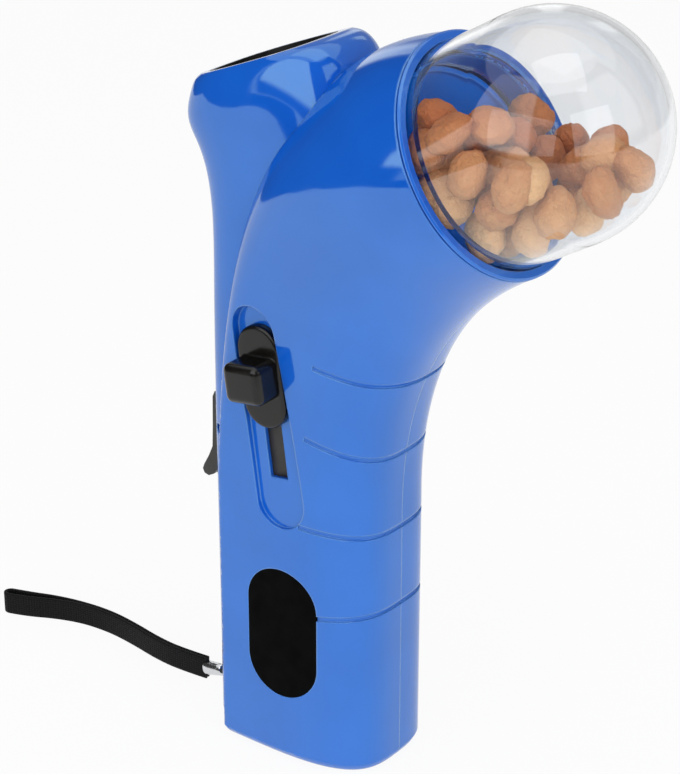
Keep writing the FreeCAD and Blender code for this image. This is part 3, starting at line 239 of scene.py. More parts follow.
@dataclass(frozen=True)
class Finish:
    """A surface finish: a name and the way to build its material."""

    name: str

    def material(self) -> bpy.types.Material:
        """Build the material, or find it again.

        Returns:
            The material.
        """
        if self.name in bpy.data.materials:
            return bpy.data.materials[self.name]
        made = bpy.data.materials.new(self.name)
        made.use_nodes = True
        made.node_tree.nodes.clear()
        shader = self.shade(made.node_tree)
        add_node(made.node_tree, "ShaderNodeOutputMaterial", {"Surface": shader})
        return made

    def shade(self, tree: Tree) -> Socket:
        """Build the shader and return its output."""
        raise NotImplementedError

    def place(self, tree: Tree) -> Socket:
        """Object coordinates, in metres."""
        return add_node(tree, "ShaderNodeTexCoord").outputs["Object"]

    def noise(self, tree: Tree, size_mm: float, detail: float = 2.0,
              where: Socket | None = None) -> Socket:
        """Noise whose features are about that size.

        Args:
            tree: the node tree.
            size_mm: size of a feature.
            detail: octaves.
            where: coordinates other than the object's own.
        Returns:
            The noise's value, 0 to 1.
        """
        made = add_node(tree, "ShaderNodeTexNoise",
                        {"Vector": where or self.place(tree), "Scale": per_mm(size_mm),
                         "Detail": detail})
        return made.outputs["Fac"]

    def spread(self, tree: Tree, value: Socket, low: float, high: float) -> Socket:
        """Map a noise's usual span onto another.

        Args:
            tree: the node tree.
            value: the noise.
            low: what its low end becomes.
            high: what its high end becomes.
        Returns:
            The mapped value.
        """
        made = add_node(tree, "ShaderNodeMapRange",
                        {"Value": value, "From Min": NOISE_SPAN[0],
                         "From Max": NOISE_SPAN[1], "To Min": low, "To Max": high})
        return made.outputs["Result"]

    def tint(self, tree: Tree, share: Socket, low: str | Socket, high: str | Socket) -> Socket:
        """Mix two colours.

        Args:
            tree: the node tree.
            share: 0 for the low colour, 1 for the high.
            low: a hex code or a node's output.
            high: a hex code or a node's output.
        Returns:
            The colour.
        """
        ends = [linear(end) if isinstance(end, str) else end for end in (low, high)]
        return add_node(tree, "ShaderNodeMix", {"Factor": share, "A": ends[0], "B": ends[1]},
                        data_type="RGBA").outputs["Result"]

    def rounded(self, tree: Tree, radius_mm: float) -> Socket:
        """The normal, turned as if every edge had that radius."""
        return add_node(tree, "ShaderNodeBevel", {"Radius": radius_mm * MM},
                        samples=6).outputs["Normal"]

    def surface(self, tree: Tree, colour: Socket, height: Socket, strength: float,
                depth_mm: float, settings: dict, normal: Socket | None = None) -> Socket:
        """A coloured surface with relief.

        Args:
            tree: the node tree.
            colour: its colour.
            height: its relief, 0 to 1.
            strength: how much of the relief shows.
            depth_mm: the relief's depth.
            settings: the shader's other inputs.
            normal: the normal under the relief, or none for the mesh's own.
        Returns:
            The shader.
        """
        relief = {"Strength": strength, "Distance": depth_mm * MM, "Height": height}
        if normal is not None:
            relief["Normal"] = normal
        bump = add_node(tree, "ShaderNodeBump", relief)
        return add_node(tree, "ShaderNodeBsdfPrincipled",
                        {"Base Color": colour, "Normal": bump.outputs["Normal"],
                         **settings}).outputs["BSDF"]


@dataclass(frozen=True)
class GlossAbs(Finish):
    """High-gloss injection-moulded ABS: mirror-like with a trace of orange peel."""

    low: str = "0E58C4"
    high: str = "1260CE"
    roughness: float = 0.06
    # handling leaves the gloss a little uneven: its least and most, as shares
    handled_mm: float = 9.0
    handled: tuple[float, float] = (0.8, 1.35)
    melt_mm: float = 26.0
    peel_mm: float = 2.2
    peel_share: float = 0.5
    peel_depth_mm: float = 0.006
    edge_mm: float = 0.8
    ior: float = 1.93
    mirror: tuple[float, float, float, float] = (0.6, 1.0, 0.78, 1.0)
    # painted highlight: the pale tone the edges are painted towards, and its largest share
    edge_highlight_tone: str = "6FA6EE"
    edge_highlight_share: float = 0.5
    # cosines of the turn where the painted highlight line starts and where it is full
    highlight_turn: tuple[float, float] = (0.985, 0.85)

    def shade(self, tree: Tree) -> Socket:
        """A clear dielectric over an even colour, painted paler along the edges as a highlight.

        Args:
            tree: the material's node tree.
        Returns:
            The shader's output.
        """
        # flow of the melt leaves slow, faint changes of tone
        tone = self.spread(tree, self.noise(tree, self.melt_mm), 0.0, 1.0)
        gloss = self.spread(tree, self.noise(tree, self.handled_mm, 4.0),
                            self.roughness * self.handled[0], self.roughness * self.handled[1])
        edge = self.rounded(tree, self.edge_mm)
        # painted highlight: the colour is painted paler along the rounded edges, as a thin line
        # of light
        own = add_node(tree, "ShaderNodeNewGeometry")
        turned = add_node(tree, "ShaderNodeVectorMath", {0: edge, 1: own.outputs["Normal"]},
                          operation="DOT_PRODUCT")
        line = add_node(tree, "ShaderNodeMapRange",
                        {"Value": turned.outputs["Value"], "From Min": self.highlight_turn[0],
                         "From Max": self.highlight_turn[1], "To Min": 0.0,
                         "To Max": self.edge_highlight_share})
        pigment_and_highlight = self.tint(tree, line.outputs["Result"],
                            self.tint(tree, tone, self.low, self.high), self.edge_highlight_tone)
        return self.surface(tree, pigment_and_highlight, self.noise(tree, self.peel_mm, 1.0),
                            self.peel_share, self.peel_depth_mm,
                            {"Roughness": gloss, "IOR": self.ior,
                             "Specular Tint": self.mirror}, edge)


@dataclass(frozen=True)
class SatinAbs(Finish):
    """Moulded ABS with a fine spark-eroded grain: soft, broad highlights."""

    low: str = "1F1D1B"
    high: str = "2A2825"
    tone_mm: float = 7.0
    roughness: float = 0.34
    # fingers rub it smoother here and there: its least and most, as shares
    rubbed_mm: float = 4.0
    rubbed: tuple[float, float] = (0.8, 1.2)
    grain_mm: float = 0.5
    grain_share: float = 0.6
    grain_depth_mm: float = 0.02
    edge_mm: float = 0.3
    ior: float = 1.5
    specular: float = 0.5

    def shade(self, tree: Tree) -> Socket:
        """Grain as bump, rubbed smoother here and there.

        Args:
            tree: the material's node tree.
        Returns:
            The shader's output.
        """
        tone = self.spread(tree, self.noise(tree, self.tone_mm, 3.0), 0.0, 1.0)
        rough = self.spread(tree, self.noise(tree, self.rubbed_mm, 4.0),
                            self.roughness * self.rubbed[0], self.roughness * self.rubbed[1])
        return self.surface(tree, self.tint(tree, tone, self.low, self.high),
                            self.noise(tree, self.grain_mm, 2.0), self.grain_share,
                            self.grain_depth_mm,
                            {"Roughness": rough, "IOR": self.ior,
                             "Specular IOR Level": self.specular},
                            self.rounded(tree, self.edge_mm))


@dataclass(frozen=True)
class ClearPolycarbonate(Finish):
    """Blown and polished polycarbonate: clear, bright edges, faint scuffs."""

    tint_code: str = "F7F9FB"
    scuff_mm: float = 6.0
    scuff_roughness: float = 0.035
    ior: float = 1.58
    # what shadow and fill light keep on their way through
    passage: tuple[float, float, float, float] = (0.93, 0.94, 0.95, 1.0)

    def shade(self, tree: Tree) -> Socket:
        """Refraction for what is seen, and plain passage for shadow and fill light.

        Args:
            tree: the material's node tree.
        Returns:
            The shader's output.
        """
        scuff = self.spread(tree, self.noise(tree, self.scuff_mm, 6.0), 0.0,
                            self.scuff_roughness)
        glass = add_node(tree, "ShaderNodeBsdfPrincipled",
                         {"Base Color": linear(self.tint_code), "Roughness": scuff,
                          "IOR": self.ior, "Transmission Weight": 1.0})
        clear = add_node(tree, "ShaderNodeBsdfTransparent", {"Color": self.passage})
        path = add_node(tree, "ShaderNodeLightPath")
        soft = add_node(tree, "ShaderNodeMath", {0: path.outputs["Is Shadow Ray"],
                                                1: path.outputs["Is Diffuse Ray"]},
                        operation="MAXIMUM")
        made = add_node(tree, "ShaderNodeMixShader", {"Fac": soft.outputs[0],
                                                     1: glass.outputs["BSDF"],
                                                     2: clear.outputs["BSDF"]})
        return made.outputs["Shader"]


@dataclass(frozen=True)
class PlatedMetal(Finish):
    """Nickel-plated or drawn steel: bright, with fine marks along it."""

    low: str = "B4B5B8"
    high: str = "D6D7DA"
    tone_mm: float = 3.0
    roughness: float = 0.2
    # the marks roughen it unevenly: least and most, as shares
    mark_mm: float = 0.6
    marked: tuple[float, float] = (0.6, 1.7)
    mark_share: float = 0.4
    mark_depth_mm: float = 0.01

    def shade(self, tree: Tree) -> Socket:
        """Bare metal with drawn marks in its gloss.

        Args:
            tree: the material's node tree.
        Returns:
            The shader's output.
        """
        marks = self.noise(tree, self.mark_mm, 5.0)
        rough = self.spread(tree, marks, self.roughness * self.marked[0],
                            self.roughness * self.marked[1])
        tone = self.tint(tree, self.noise(tree, self.tone_mm), self.low, self.high)
        return self.surface(tree, tone, marks, self.mark_share, self.mark_depth_mm,
                            {"Metallic": 1.0, "Roughness": rough})


@dataclass(frozen=True)
class WovenTape(Finish):
    """Polyester tape woven in a rib: dark, slightly lustrous, with visible picks.

    It reads a UV map in metres: u along the tape, v across it.
    """

    low: str = "060607"
    high: str = "131315"
    # coarser than real threads, so that the weave shows
    pick_mm: float = 0.9
    rib_mm: float = 0.75
    fuzz_mm: float = 0.3
    fuzz_share: float = 0.35
    weave_share: float = 0.8
    weave_depth_mm: float = 0.12
    roughness: float = 0.8
    specular: float = 0.25
    sheen: float = 0.06
    sheen_roughness: float = 0.4

    def wave(self, tree: Tree, along: Socket, spacing_mm: float) -> Socket:
        """A rounded ridge every so many millimetres.

        Args:
            tree: the node tree.
            along: the way along the tape, in metres.
            spacing_mm: from one ridge to the next.
        Returns:
            The ridge's height, 0 to 1.
        """
        turns = add_node(tree, "ShaderNodeMath", {0: along, 1: 2 * math.pi / (spacing_mm * MM)},
                         operation="MULTIPLY")
        wave = add_node(tree, "ShaderNodeMath", {0: turns.outputs[0]}, operation="SINE")
        return add_node(tree, "ShaderNodeMath", {0: wave.outputs[0], 1: 0.5, 2: 0.5},
                        operation="MULTIPLY_ADD").outputs[0]

    def shade(self, tree: Tree) -> Socket:
        """Picks across ribs, with a fibre sheen.

        Args:
            tree: the material's node tree.
        Returns:
            The shader's output.
        """
        uv = add_node(tree, "ShaderNodeUVMap", uv_map="tape")
        split = add_node(tree, "ShaderNodeSeparateXYZ", {"Vector": uv.outputs["UV"]})
        picks = self.wave(tree, split.outputs["X"], self.pick_mm)
        ribs = self.wave(tree, split.outputs["Y"], self.rib_mm)
        weave = add_node(tree, "ShaderNodeMath", {0: picks, 1: ribs}, operation="MULTIPLY")
        fuzz = self.noise(tree, self.fuzz_mm, 4.0)
        height = add_node(tree, "ShaderNodeMath",
                          {0: fuzz, 1: self.fuzz_share, 2: weave.outputs[0]},
                          operation="MULTIPLY_ADD")
        share = self.spread(tree, height.outputs[0], 0.0, 1.0)
        return self.surface(tree, self.tint(tree, share, self.low, self.high),
                            height.outputs[0], self.weave_share, self.weave_depth_mm,
                            {"Roughness": self.roughness, "Sheen Weight": self.sheen,
                             "Sheen Roughness": self.sheen_roughness,
                             "Specular IOR Level": self.specular})


@dataclass(frozen=True)
class BakedKibble(Finish):
    """Extruded and baked pet food: matt, porous, each piece its own tone."""

    pale: str = "EEBC82"
    brown: str = "B4621C"
    # painted shade: the brown that the shaded part of the heap is painted
    shaded_brown: str = "B85812"
    # painted shade: the heap is painted darkest at its top by the throat and on its far side, and
    # pale where it lies on the dome
    shade_span: tuple[float, float] = (0.108, 0.084)
    axis: tuple[float, float, float] = (-0.518, 0.5, 0.697)
    shade_share: float = 0.78
    mottle_mm: float = 2.4
    mottle_share: float = 0.55
    mottle_start: float = 0.28
    pore_mm: float = 0.9
    pore_share: float = 0.6
    crumb_mm: float = 0.5
    crust_share: float = 0.9
    crust_depth_mm: float = 0.45
    roughness: float = 0.62
    # light goes a little way into the crumb
    glow_share: float = 0.12
    glow_mm: float = 2.0
    glow_radius: tuple[float, float, float] = (1.0, 0.5, 0.25)

    def shade(self, tree: Tree) -> Socket:
        """Tone per piece from its tone attribute, mottled, with pores and crumb, and painted
        shade over the heap.

        Args:
            tree: the material's node tree.
        Returns:
            The shader's output.
        """
        own = add_node(tree, "ShaderNodeAttribute", attribute_name="tone").outputs["Fac"]
        mottle = self.noise(tree, self.mottle_mm, 5.0)
        share = add_node(tree, "ShaderNodeMath", {0: mottle, 1: self.mottle_share, 2: own},
                         operation="MULTIPLY_ADD")
        share = add_node(tree, "ShaderNodeMath", {0: share.outputs[0], 1: self.mottle_start},
                         operation="SUBTRACT", use_clamp=True)
        pores = add_node(tree, "ShaderNodeTexVoronoi",
                         {"Vector": self.place(tree), "Scale": per_mm(self.pore_mm)})
        crumb = self.noise(tree, self.crumb_mm, 3.0)
        height = add_node(tree, "ShaderNodeMath",
                          {0: pores.outputs["Distance"], 1: self.pore_share, 2: crumb},
                          operation="MULTIPLY_ADD")
        # painted shade: darker along this axis, towards the top and far side of the heap
        along = add_node(tree, "ShaderNodeVectorMath", {0: self.place(tree), 1: self.axis},
                         operation="DOT_PRODUCT")
        depth = add_node(tree, "ShaderNodeMapRange",
                         {"Value": along.outputs["Value"], "From Min": self.shade_span[1],
                          "From Max": self.shade_span[0], "To Min": 0.0,
                          "To Max": self.shade_share})
        tone = self.tint(tree, depth.outputs["Result"],
                         self.tint(tree, share.outputs[0], self.pale, self.brown), self.shaded_brown)
        return self.surface(tree, tone, height.outputs[0], self.crust_share,
                            self.crust_depth_mm,
                            {"Roughness": self.roughness, "Subsurface Weight": self.glow_share,
                             "Subsurface Scale": self.glow_mm * MM,
                             "Subsurface Radius": self.glow_radius})


@dataclass(frozen=True)
class MouldedRubber(Finish):
    """Moulded rubber: matt, faintly bloomed."""

    low: str = "121212"
    high: str = "1E1E1E"
    bloom_mm: float = 3.0
    grain_mm: float = 0.4
    grain_share: float = 0.4
    grain_depth_mm: float = 0.02
    roughness: float = 0.7

    def shade(self, tree: Tree) -> Socket:
        """Matt rubber with a paler bloom.

        Args:
            tree: the material's node tree.
        Returns:
            The shader's output.
        """
        bloom = self.spread(tree, self.noise(tree, self.bloom_mm, 4.0), 0.0, 1.0)
        return self.surface(tree, self.tint(tree, bloom, self.low, self.high),
                            self.noise(tree, self.grain_mm, 2.0), self.grain_share,
                            self.grain_depth_mm, {"Roughness": self.roughness})


CASING_ABS = GlossAbs("gloss_abs_blue")
COLLAR_ABS = GlossAbs("gloss_abs_collar", edge_mm=0.4)
# painted light: the funnel's blue plastic, painted paler than the casing's to stand in for light
# it lacks in the dome's shade
FUNNEL_ABS_PAINTED_LIGHT = GlossAbs("gloss_abs_funnel_painted_light", low="067AF2", high="0A86FF", roughness=0.2, ior=1.5)
KNOB_ABS = SatinAbs("satin_abs_knob", low="0C0B0A", high="141210", roughness=0.17,
                    grain_depth_mm=0.008, edge_mm=0.8, specular=0.42)
TRIGGER_ABS = SatinAbs("satin_abs_trigger", low="2A2826", high="363431", roughness=0.36)
INLAY_ABS = SatinAbs("satin_abs_inlay", low="040404", high="080808", roughness=0.6,
                     grain_mm=0.7, specular=0.03)
TUBE_ABS = SatinAbs("satin_abs_tube", low="0B0B0B", high="131313", roughness=0.4, specular=0.3)
ARM_ABS = SatinAbs("satin_abs_arm", low="262421", high="302D2A", roughness=0.45)
PLUNGER_ACETAL = SatinAbs("turned_acetal", low="CFCDC4", high="DEDCD4", roughness=0.4)
DOME_PC = ClearPolycarbonate("clear_polycarbonate")
CRIMP_NICKEL = PlatedMetal("nickel_plate", low="C4C5C8", high="E2E3E6", roughness=0.16)
STEEL = PlatedMetal("drawn_steel", low="9A9B9E", high="B4B5B8", roughness=0.28)
SCREW_STEEL = PlatedMetal("blackened_steel", low="3A3A3D", high="4C4C50", roughness=0.3)
TAPE = WovenTape("woven_tape")
KIBBLE = BakedKibble("baked_kibble")
RUBBER = MouldedRubber("moulded_rubber")
# painted light: the seal's rubber, painted pale blue to lighten the shaded crescent between
# collar and dome
SEAL_RUBBER_PAINTED_LIGHT = MouldedRubber("silicone_seal_painted_light", low="3F86E0", high="4E94EA")


def dress(piece: Piece, finish: Finish) -> None:
    """Give a piece its finish.

    Args:
        piece: the piece.
        finish: its finish.
    """
    made = finish.material()
    if piece.material_slots:
        for place in piece.material_slots:
            place.material = made
    else:
        piece.data.materials.append(made)


def install(piece: Piece, node: str, finish: Finish, body: str) -> Piece:
    """Let a piece stand for a CAD node.

    Args:
        piece: the piece.
        node: the node it stands for.
        finish: its finish.
        body: the body it rides on.
    Returns:
        The piece.
    """
    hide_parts(node)
    dress(piece, finish)
    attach(piece, body)
    return piece


# ---------------------------------------------------------------- forms of the casing

@dataclass(frozen=True)
class Outline:
    """One closed outline: superellipse halves to the front and the back of a centre."""

    centre: tuple[float, float, float]
    forward: tuple[float, float, float]
    front: float
    back: float
    half_width: float
    front_power: float
    back_power: float
    turn_weight: float = 8.0

    def points(self, count: int) -> np.ndarray:
        """Points round the outline in millimetres, closer where it turns.

        Args:
            count: how many.
        Returns:
            count x 3.
        """
        angle = np.linspace(0, 2 * math.pi, 721)
        c, s = np.cos(angle), np.sin(angle)
        power = np.where(c >= 0, self.front_power, self.back_power)
        reach = np.where(c >= 0, self.front, self.back)
        spread = (np.abs(c) ** power + np.abs(s) ** power) ** (-1 / power)
        along, across = reach * spread * c, self.half_width * spread * s
        step = np.hypot(np.diff(along), np.diff(across))
        heading = np.unwrap(np.arctan2(np.diff(across), np.diff(along)))
        bend = np.abs(np.diff(heading, prepend=heading[0]))
        travelled = np.concatenate([[0], np.cumsum(step + self.turn_weight * bend)])
        goal = travelled[-1] * np.arange(count) / count
        along = np.interp(goal, travelled, along)
        across = np.interp(goal, travelled, across)
        forward = np.array(self.forward)
        return np.array(self.centre) + along[:, None] * forward + across[:, None] * (0, 1, 0)


@dataclass
class CasingForm:
    """The bent casing as a rule: a straight handle, then a neck that turns to the collar."""

    back: float = 25.2
    front: float = 24.1
    half_width: float = 21.4
    back_share: float = 6.8
    front_power: float = 3.26
    corner_power: float = 20.0
    back_bend_z: float = 86.8
    front_bend_z: float = 81.8
    back_rise: float = 85.0
    back_reach: float = 41.0
    back_slope: float = 13.5
    front_rise: float = 38.0
    front_reach: float = 34.0
    collar: tuple[float, float] = (50.7, 191.4)
    collar_radius: float = 33.2
    collar_length: float = 1.3
    tilt: float = 30.3
    foot: float = 4.4
    # how early in the neck the section's halves and its corners have grown round
    half_ease: float = 1.25
    corner_ease: float = 1.5
    handle_rings: int = 60
    neck_rings: int = 150

    def bend(self, points: Sequence[np.ndarray], t: float) -> np.ndarray:
        """A point of a cubic curve.

        Args:
            points: its four control points.
            t: how far along it, 0 to 1.
        Returns:
            The point.
        """
        a, b, c, d = points
        s = 1 - t
        return a * s ** 3 + b * 3 * s * s * t + c * 3 * s * t * t + d * t ** 3

    def outlines(self) -> list[Outline]:
        """Lay the outlines from the foot to the neck's end.

        Returns:
            The outlines in order.
        """
        tilt = math.radians(self.tilt)
        out = np.array([math.cos(tilt), 0, math.sin(tilt)])
        over = np.array([-math.sin(tilt), 0, math.cos(tilt)])
        end = np.array([self.collar[0], 0, self.collar[1]]) - out * self.collar_length
        top, low = end + over * self.collar_radius, end - over * self.collar_radius
        slope = math.radians(self.back_slope)
        along = np.array([math.cos(slope), 0, math.sin(slope)])
        back = [np.array([-self.back, 0, self.back_bend_z]),
                np.array([-self.back, 0, self.back_bend_z + self.back_rise]),
                top - along * self.back_reach, top]
        front = [np.array([self.front, 0, self.front_bend_z]),
                 np.array([self.front, 0, self.front_bend_z + self.front_rise]),
                 low - out * self.front_reach, low]
        share = self.back_share / (self.front + self.back)
        made = []
        for s in np.linspace(0, 1, self.handle_rings, endpoint=False):
            low_z = self.foot + s * (self.front_bend_z - self.foot)
            high_z = self.foot + s * (self.back_bend_z - self.foot)
            made.append(self.station(np.array([-self.back, 0, high_z]),
                                     np.array([self.front, 0, low_z]), 0.0, share))
        for t in np.linspace(0, 1, self.neck_rings):
            made.append(self.station(self.bend(back, t), self.bend(front, t), t, share))
        return made

    def station(self, low: np.ndarray, high: np.ndarray, t: float, share: float) -> Outline:
        """The outline between a back and a front point.

        Args:
            low: the back point.
            high: the front point.
            t: how far along the neck, 0 to 1.
            share: the back half's share at the handle.
        Returns:
            The outline.
        """
        across = high - low
        length = float(np.linalg.norm(across))
        forward = across / length
        ease = min(1.0, self.half_ease * t)
        back = length * (share + (0.5 - share) * ease)
        grow = t * t * (3 - 2 * t)
        half = self.half_width + (self.collar_radius - self.half_width) * grow
        front_power = self.front_power + (2.0 - self.front_power) * ease
        rounding = min(1.0, self.corner_ease * t)
        corner = 1 / self.corner_power + (0.5 - 1 / self.corner_power) * rounding
        return Outline(tuple(low + forward * back), tuple(forward), length - back, back, half,
                       front_power, 1 / corner)

    def rings(self, count: int = 360) -> np.ndarray:
        """The form as rings of points, in metres."""
        return np.array([o.points(count) for o in self.outlines()]) * MM


@dataclass
class HousingForm:
    """The muzzle housing as a rule: outlines on stations, with a smooth curve through them."""

    mouth: tuple[float, float] = (-20.0, 205.3)
    tilt: float = 21.6
    half_width: float = 18.0
    foot: float = 4.5
    # height, lean, centre X, half depth, extra half width, exponent
    strip: tuple = ((1.8, 0.0, -12.2, 21.2, 0.0, 4.0), (61.8, 0.0, -12.2, 21.2, 0.0, 4.0),
                    (113.8, 0.0, -12.2, 21.2, 0.0, 4.0), (139.8, 4.0, -12.0, 21.2, 0.0, 4.0),
                    (158.8, 10.0, -11.8, 21.6, 0.0, 3.9), (173.8, 17.0, -11.2, 24.2, 0.3, 3.6))
    # depth below the mouth, shift to the front, half depth, half width, exponent
    flare: tuple = ((17.0, 0.0, 27.0, 18.8, 3.4), (10.5, 0.0, 27.6, 19.0, 3.3),
                    (6.0, 0.7, 26.4, 18.8, 3.2), (3.0, 1.1, 24.6, 18.4, 3.1),
                    (1.0, 1.0, 22.7, 17.7, 3.0), (0.0, 0.9, 20.6, 17.0, 2.9))
    # below 1, the rings crowd towards the mouth
    crowding: float = 0.75

    def rings(self, count: int = 360, rows: int = 420) -> np.ndarray:
        """The form as rings of points, in metres.

        Args:
            count: points round a ring.
            rows: how many rings.
        Returns:
            rows x count x 3.
        """
        outlines = []
        for z, lean, x, half, wider, power in self.strip:
            turn = math.radians(lean)
            outlines.append(Outline((x, 0, max(z, self.foot)),
                                    (math.cos(turn), 0, math.sin(turn)), half, half,
                                    self.half_width + wider, power, power))
        turn = math.radians(self.tilt)
        ahead = np.array([math.cos(turn), 0, math.sin(turn)])
        normal = np.array([-math.sin(turn), 0, math.cos(turn)])
        mouth = np.array([self.mouth[0], 0, self.mouth[1]])
        for depth, shift, half, half_width, power in self.flare:
            outlines.append(Outline(tuple(mouth + ahead * shift - normal * depth),
                                    tuple(ahead), half, half, half_width, power, power))
        known = np.array([o.points(count) for o in outlines])
        step = np.linalg.norm(np.diff(known, axis=0), axis=2).mean(axis=1)
        reach = np.concatenate([[0], np.cumsum(step)])
        bend = self.second_slopes(reach, known)
        wanted = np.linspace(0, 1, rows) ** self.crowding * reach[-1]
        rings = []
        for r in wanted:
            i = min(int(np.searchsorted(reach, r, side="right")) - 1, len(reach) - 2)
            h = reach[i + 1] - reach[i]
            a, b = (reach[i + 1] - r) / h, (r - reach[i]) / h
            rings.append(a * known[i] + b * known[i + 1]
                         + ((a ** 3 - a) * bend[i] + (b ** 3 - b) * bend[i + 1]) * h * h / 6)
        return np.array(rings) * MM

    def second_slopes(self, reach: np.ndarray, known: np.ndarray) -> np.ndarray:
        """Second derivatives of the smooth curves through the stations.

        Args:
            reach: each station's distance along the housing.
            known: stations x points x 3.
        Returns:
            The second derivatives, shaped as the points.
        """
        n = len(reach)
        matrix = np.eye(n)
        right = np.zeros_like(known)
        for i in range(1, n - 1):
            h0, h1 = reach[i] - reach[i - 1], reach[i + 1] - reach[i]
            matrix[i, i - 1:i + 2] = (h0 / 6, (h0 + h1) / 3, h1 / 6)
            right[i] = (known[i + 1] - known[i]) / h1 - (known[i] - known[i - 1]) / h0
        return np.linalg.solve(matrix, right.reshape(n, -1)).reshape(known.shape)


class Skin:
    """A form's surface as a cloud of points with exact normals, to refine a mesh on."""

    lean_deg: float = 24.0
    neighbours: int = 6

    def __init__(self, rings: np.ndarray, ease: int = 0) -> None:
        """Measure the surface.

        Args:
            rings: rings x points x 3, in metres.
            ease: over how many rings to each side the normals are evened out.
        """
        around = np.roll(rings, -1, axis=1) - np.roll(rings, 1, axis=1)
        along = np.gradient(rings, axis=0)
        normal = np.cross(around, along)
        normal /= np.linalg.norm(normal, axis=2, keepdims=True) + 1e-15
        if ease:
            weights = np.hanning(2 * ease + 3)[1:-1]
            wide = np.pad(normal, ((ease, ease), (0, 0), (0, 0)), mode="edge")
            normal = sum(w * wide[i:i + len(normal)] for i, w in enumerate(weights))
            normal /= np.linalg.norm(normal, axis=2, keepdims=True)
        self.points = rings.reshape(-1, 3)
        self.normals = normal.reshape(-1, 3)
        self.tree = kdtree.KDTree(len(self.points))
        for i, point in enumerate(self.points):
            self.tree.insert(point, i)
        self.tree.balance()

    def near(self, point: Vector) -> tuple[Vector, float]:
        """Find the surface by a point.

        Args:
            point: the point, in metres.
        Returns:
            The surface's normal there and the point's height above it.
        """
        _, index, _ = self.tree.find(point)
        normal = Vector(self.normals[index])
        return normal, (point - Vector(self.points[index])).dot(normal)

    def blended(self, point: Vector) -> Vector:
        """Smooth the surface's normal over the nearest neighbours of a point.

        Args:
            point: the point, in metres.
        Returns:
            The normal.
        """
        total = Vector((0.0, 0.0, 0.0))
        for _, index, away in self.tree.find_n(point, self.neighbours):
            total += Vector(self.normals[index]) / (away * away + 1e-8)
        return total.normalized()

    def refine(self, bm: bmesh.types.BMesh, edges_mm: Sequence[float], reach_mm: float) -> set:
        """Split the triangles that lie on the surface and move their points onto it.

        Args:
            bm: the mesh, triangles only.
            edges_mm: longest edge after each round.
            reach_mm: how far off a point may lie and still belong.
        Returns:
            The faces on the surface.
        """
        cosine = math.cos(math.radians(self.lean_deg))

        def on_surface(face: bmesh.types.BMFace) -> bool:
            """Whether a face lies on the surface and leans the same way."""
            normal, _ = self.near(face.calc_center_median())
            return (normal.dot(face.normal) > cosine
                    and all(abs(self.near(v.co)[1]) < reach_mm * MM for v in face.verts))

        for longest in edges_mm:
            skin = {f for f in bm.faces if on_surface(f)}
            long_edges = [e for e in bm.edges if e.calc_length() > longest * MM
                          and any(f in skin for f in e.link_faces)]
            bmesh.ops.subdivide_edges(bm, edges=long_edges, cuts=1, use_grid_fill=False)
            bmesh.ops.triangulate(bm, faces=[f for f in bm.faces if len(f.verts) > 3])
            bm.normal_update()
            skin = {f for f in bm.faces if on_surface(f)}
            inner = [e for e in bm.edges if len(e.link_faces) == 2
                     and all(f in skin for f in e.link_faces)]
            bmesh.ops.beautify_fill(bm, faces=list(skin), edges=inner, method="ANGLE")
            bm.normal_update()
            for vert in {v for f in bm.faces if on_surface(f) for v in f.verts}:
                normal, height = self.near(vert.co)
                vert.co -= normal * height
            bm.normal_update()
        return {f for f in bm.faces if on_surface(f)}


def polished(node: Piece, name: str, skin: Skin | None = None,
             edges_mm: Sequence[float] = (14, 7, 3.5, 1.8), reach_mm: float = 0.25,
             crisp_deg: float = 30.0) -> Piece:
    """A fair copy of a node: merged, shaded smooth, and refined where it has a ruled skin.

    Args:
        node: the CAD node.
        name: the new piece's name.
        skin: the surface that its outside follows.
        edges_mm: longest edge after each round of refining.
        reach_mm: how far off the skin a point may lie and still belong to it.
        crisp_deg: edges sharper than this stay crisp.
    Returns:
        The new piece, in the node's place.
    """
    bm = bmesh.new()
    bm.from_mesh(node.data)
    bmesh.ops.remove_doubles(bm, verts=bm.verts, dist=2e-6)
    bmesh.ops.dissolve_degenerate(bm, edges=bm.edges, dist=1e-6)
    bmesh.ops.triangulate(bm, faces=[f for f in bm.faces if len(f.verts) > 3])
    bm.normal_update()
    on_skin = set()
    if skin is not None:
        on_skin = skin.refine(bm, edges_mm, reach_mm)
    limit = math.radians(crisp_deg)
    for face in bm.faces:
        face.smooth = True
    for edge in bm.edges:
        edge.smooth = not (len(edge.link_faces) == 2 and edge.calc_face_angle(0.0) > limit)
    bm.faces.index_update()
    marked = {f.index for f in on_skin}
    mesh = bpy.data.meshes.new(name)
    bm.to_mesh(mesh)
    bm.free()
    if skin is not None:
        normals = [(0.0, 0.0, 0.0)] * len(mesh.loops)
        known: dict[int, tuple] = {}
        for poly in mesh.polygons:
            if poly.index in marked:
                for loop in poly.loop_indices:
                    vert = mesh.loops[loop].vertex_index
                    if vert not in known:
                        known[vert] = tuple(skin.blended(mesh.vertices[vert].co))
                    normals[loop] = known[vert]
        mesh.normals_split_custom_set(normals)
    LOG.info("%s: %d triangles, %d on the skin", name, len(mesh.polygons), len(marked))
    return new_piece(name, mesh)


# ---------------------------------------------------------------- sub-assemblies

@dataclass
class Casing:
    """Both shells, the bare inlay and the screws."""

    frame: dict

    def build(self) -> None:
        """Refine and dress the shells, the inlay and the screws."""
        nodes = self.frame["nodes"]
        skin = Skin(CasingForm().rings(), ease=14)
        for node in ("left_shell", "right_shell"):
            install(polished(nodes[node], f"{node}_moulding", skin), node, CASING_ABS,
                    "casing")
        install(polished(nodes["label_inlay"], "label_inlay_plate", skin, (6, 3, 1.6)),
                "label_inlay", INLAY_ABS, "casing")
        dress(nodes["shell_screws"], SCREW_STEEL)
        LOG.info("casing built")


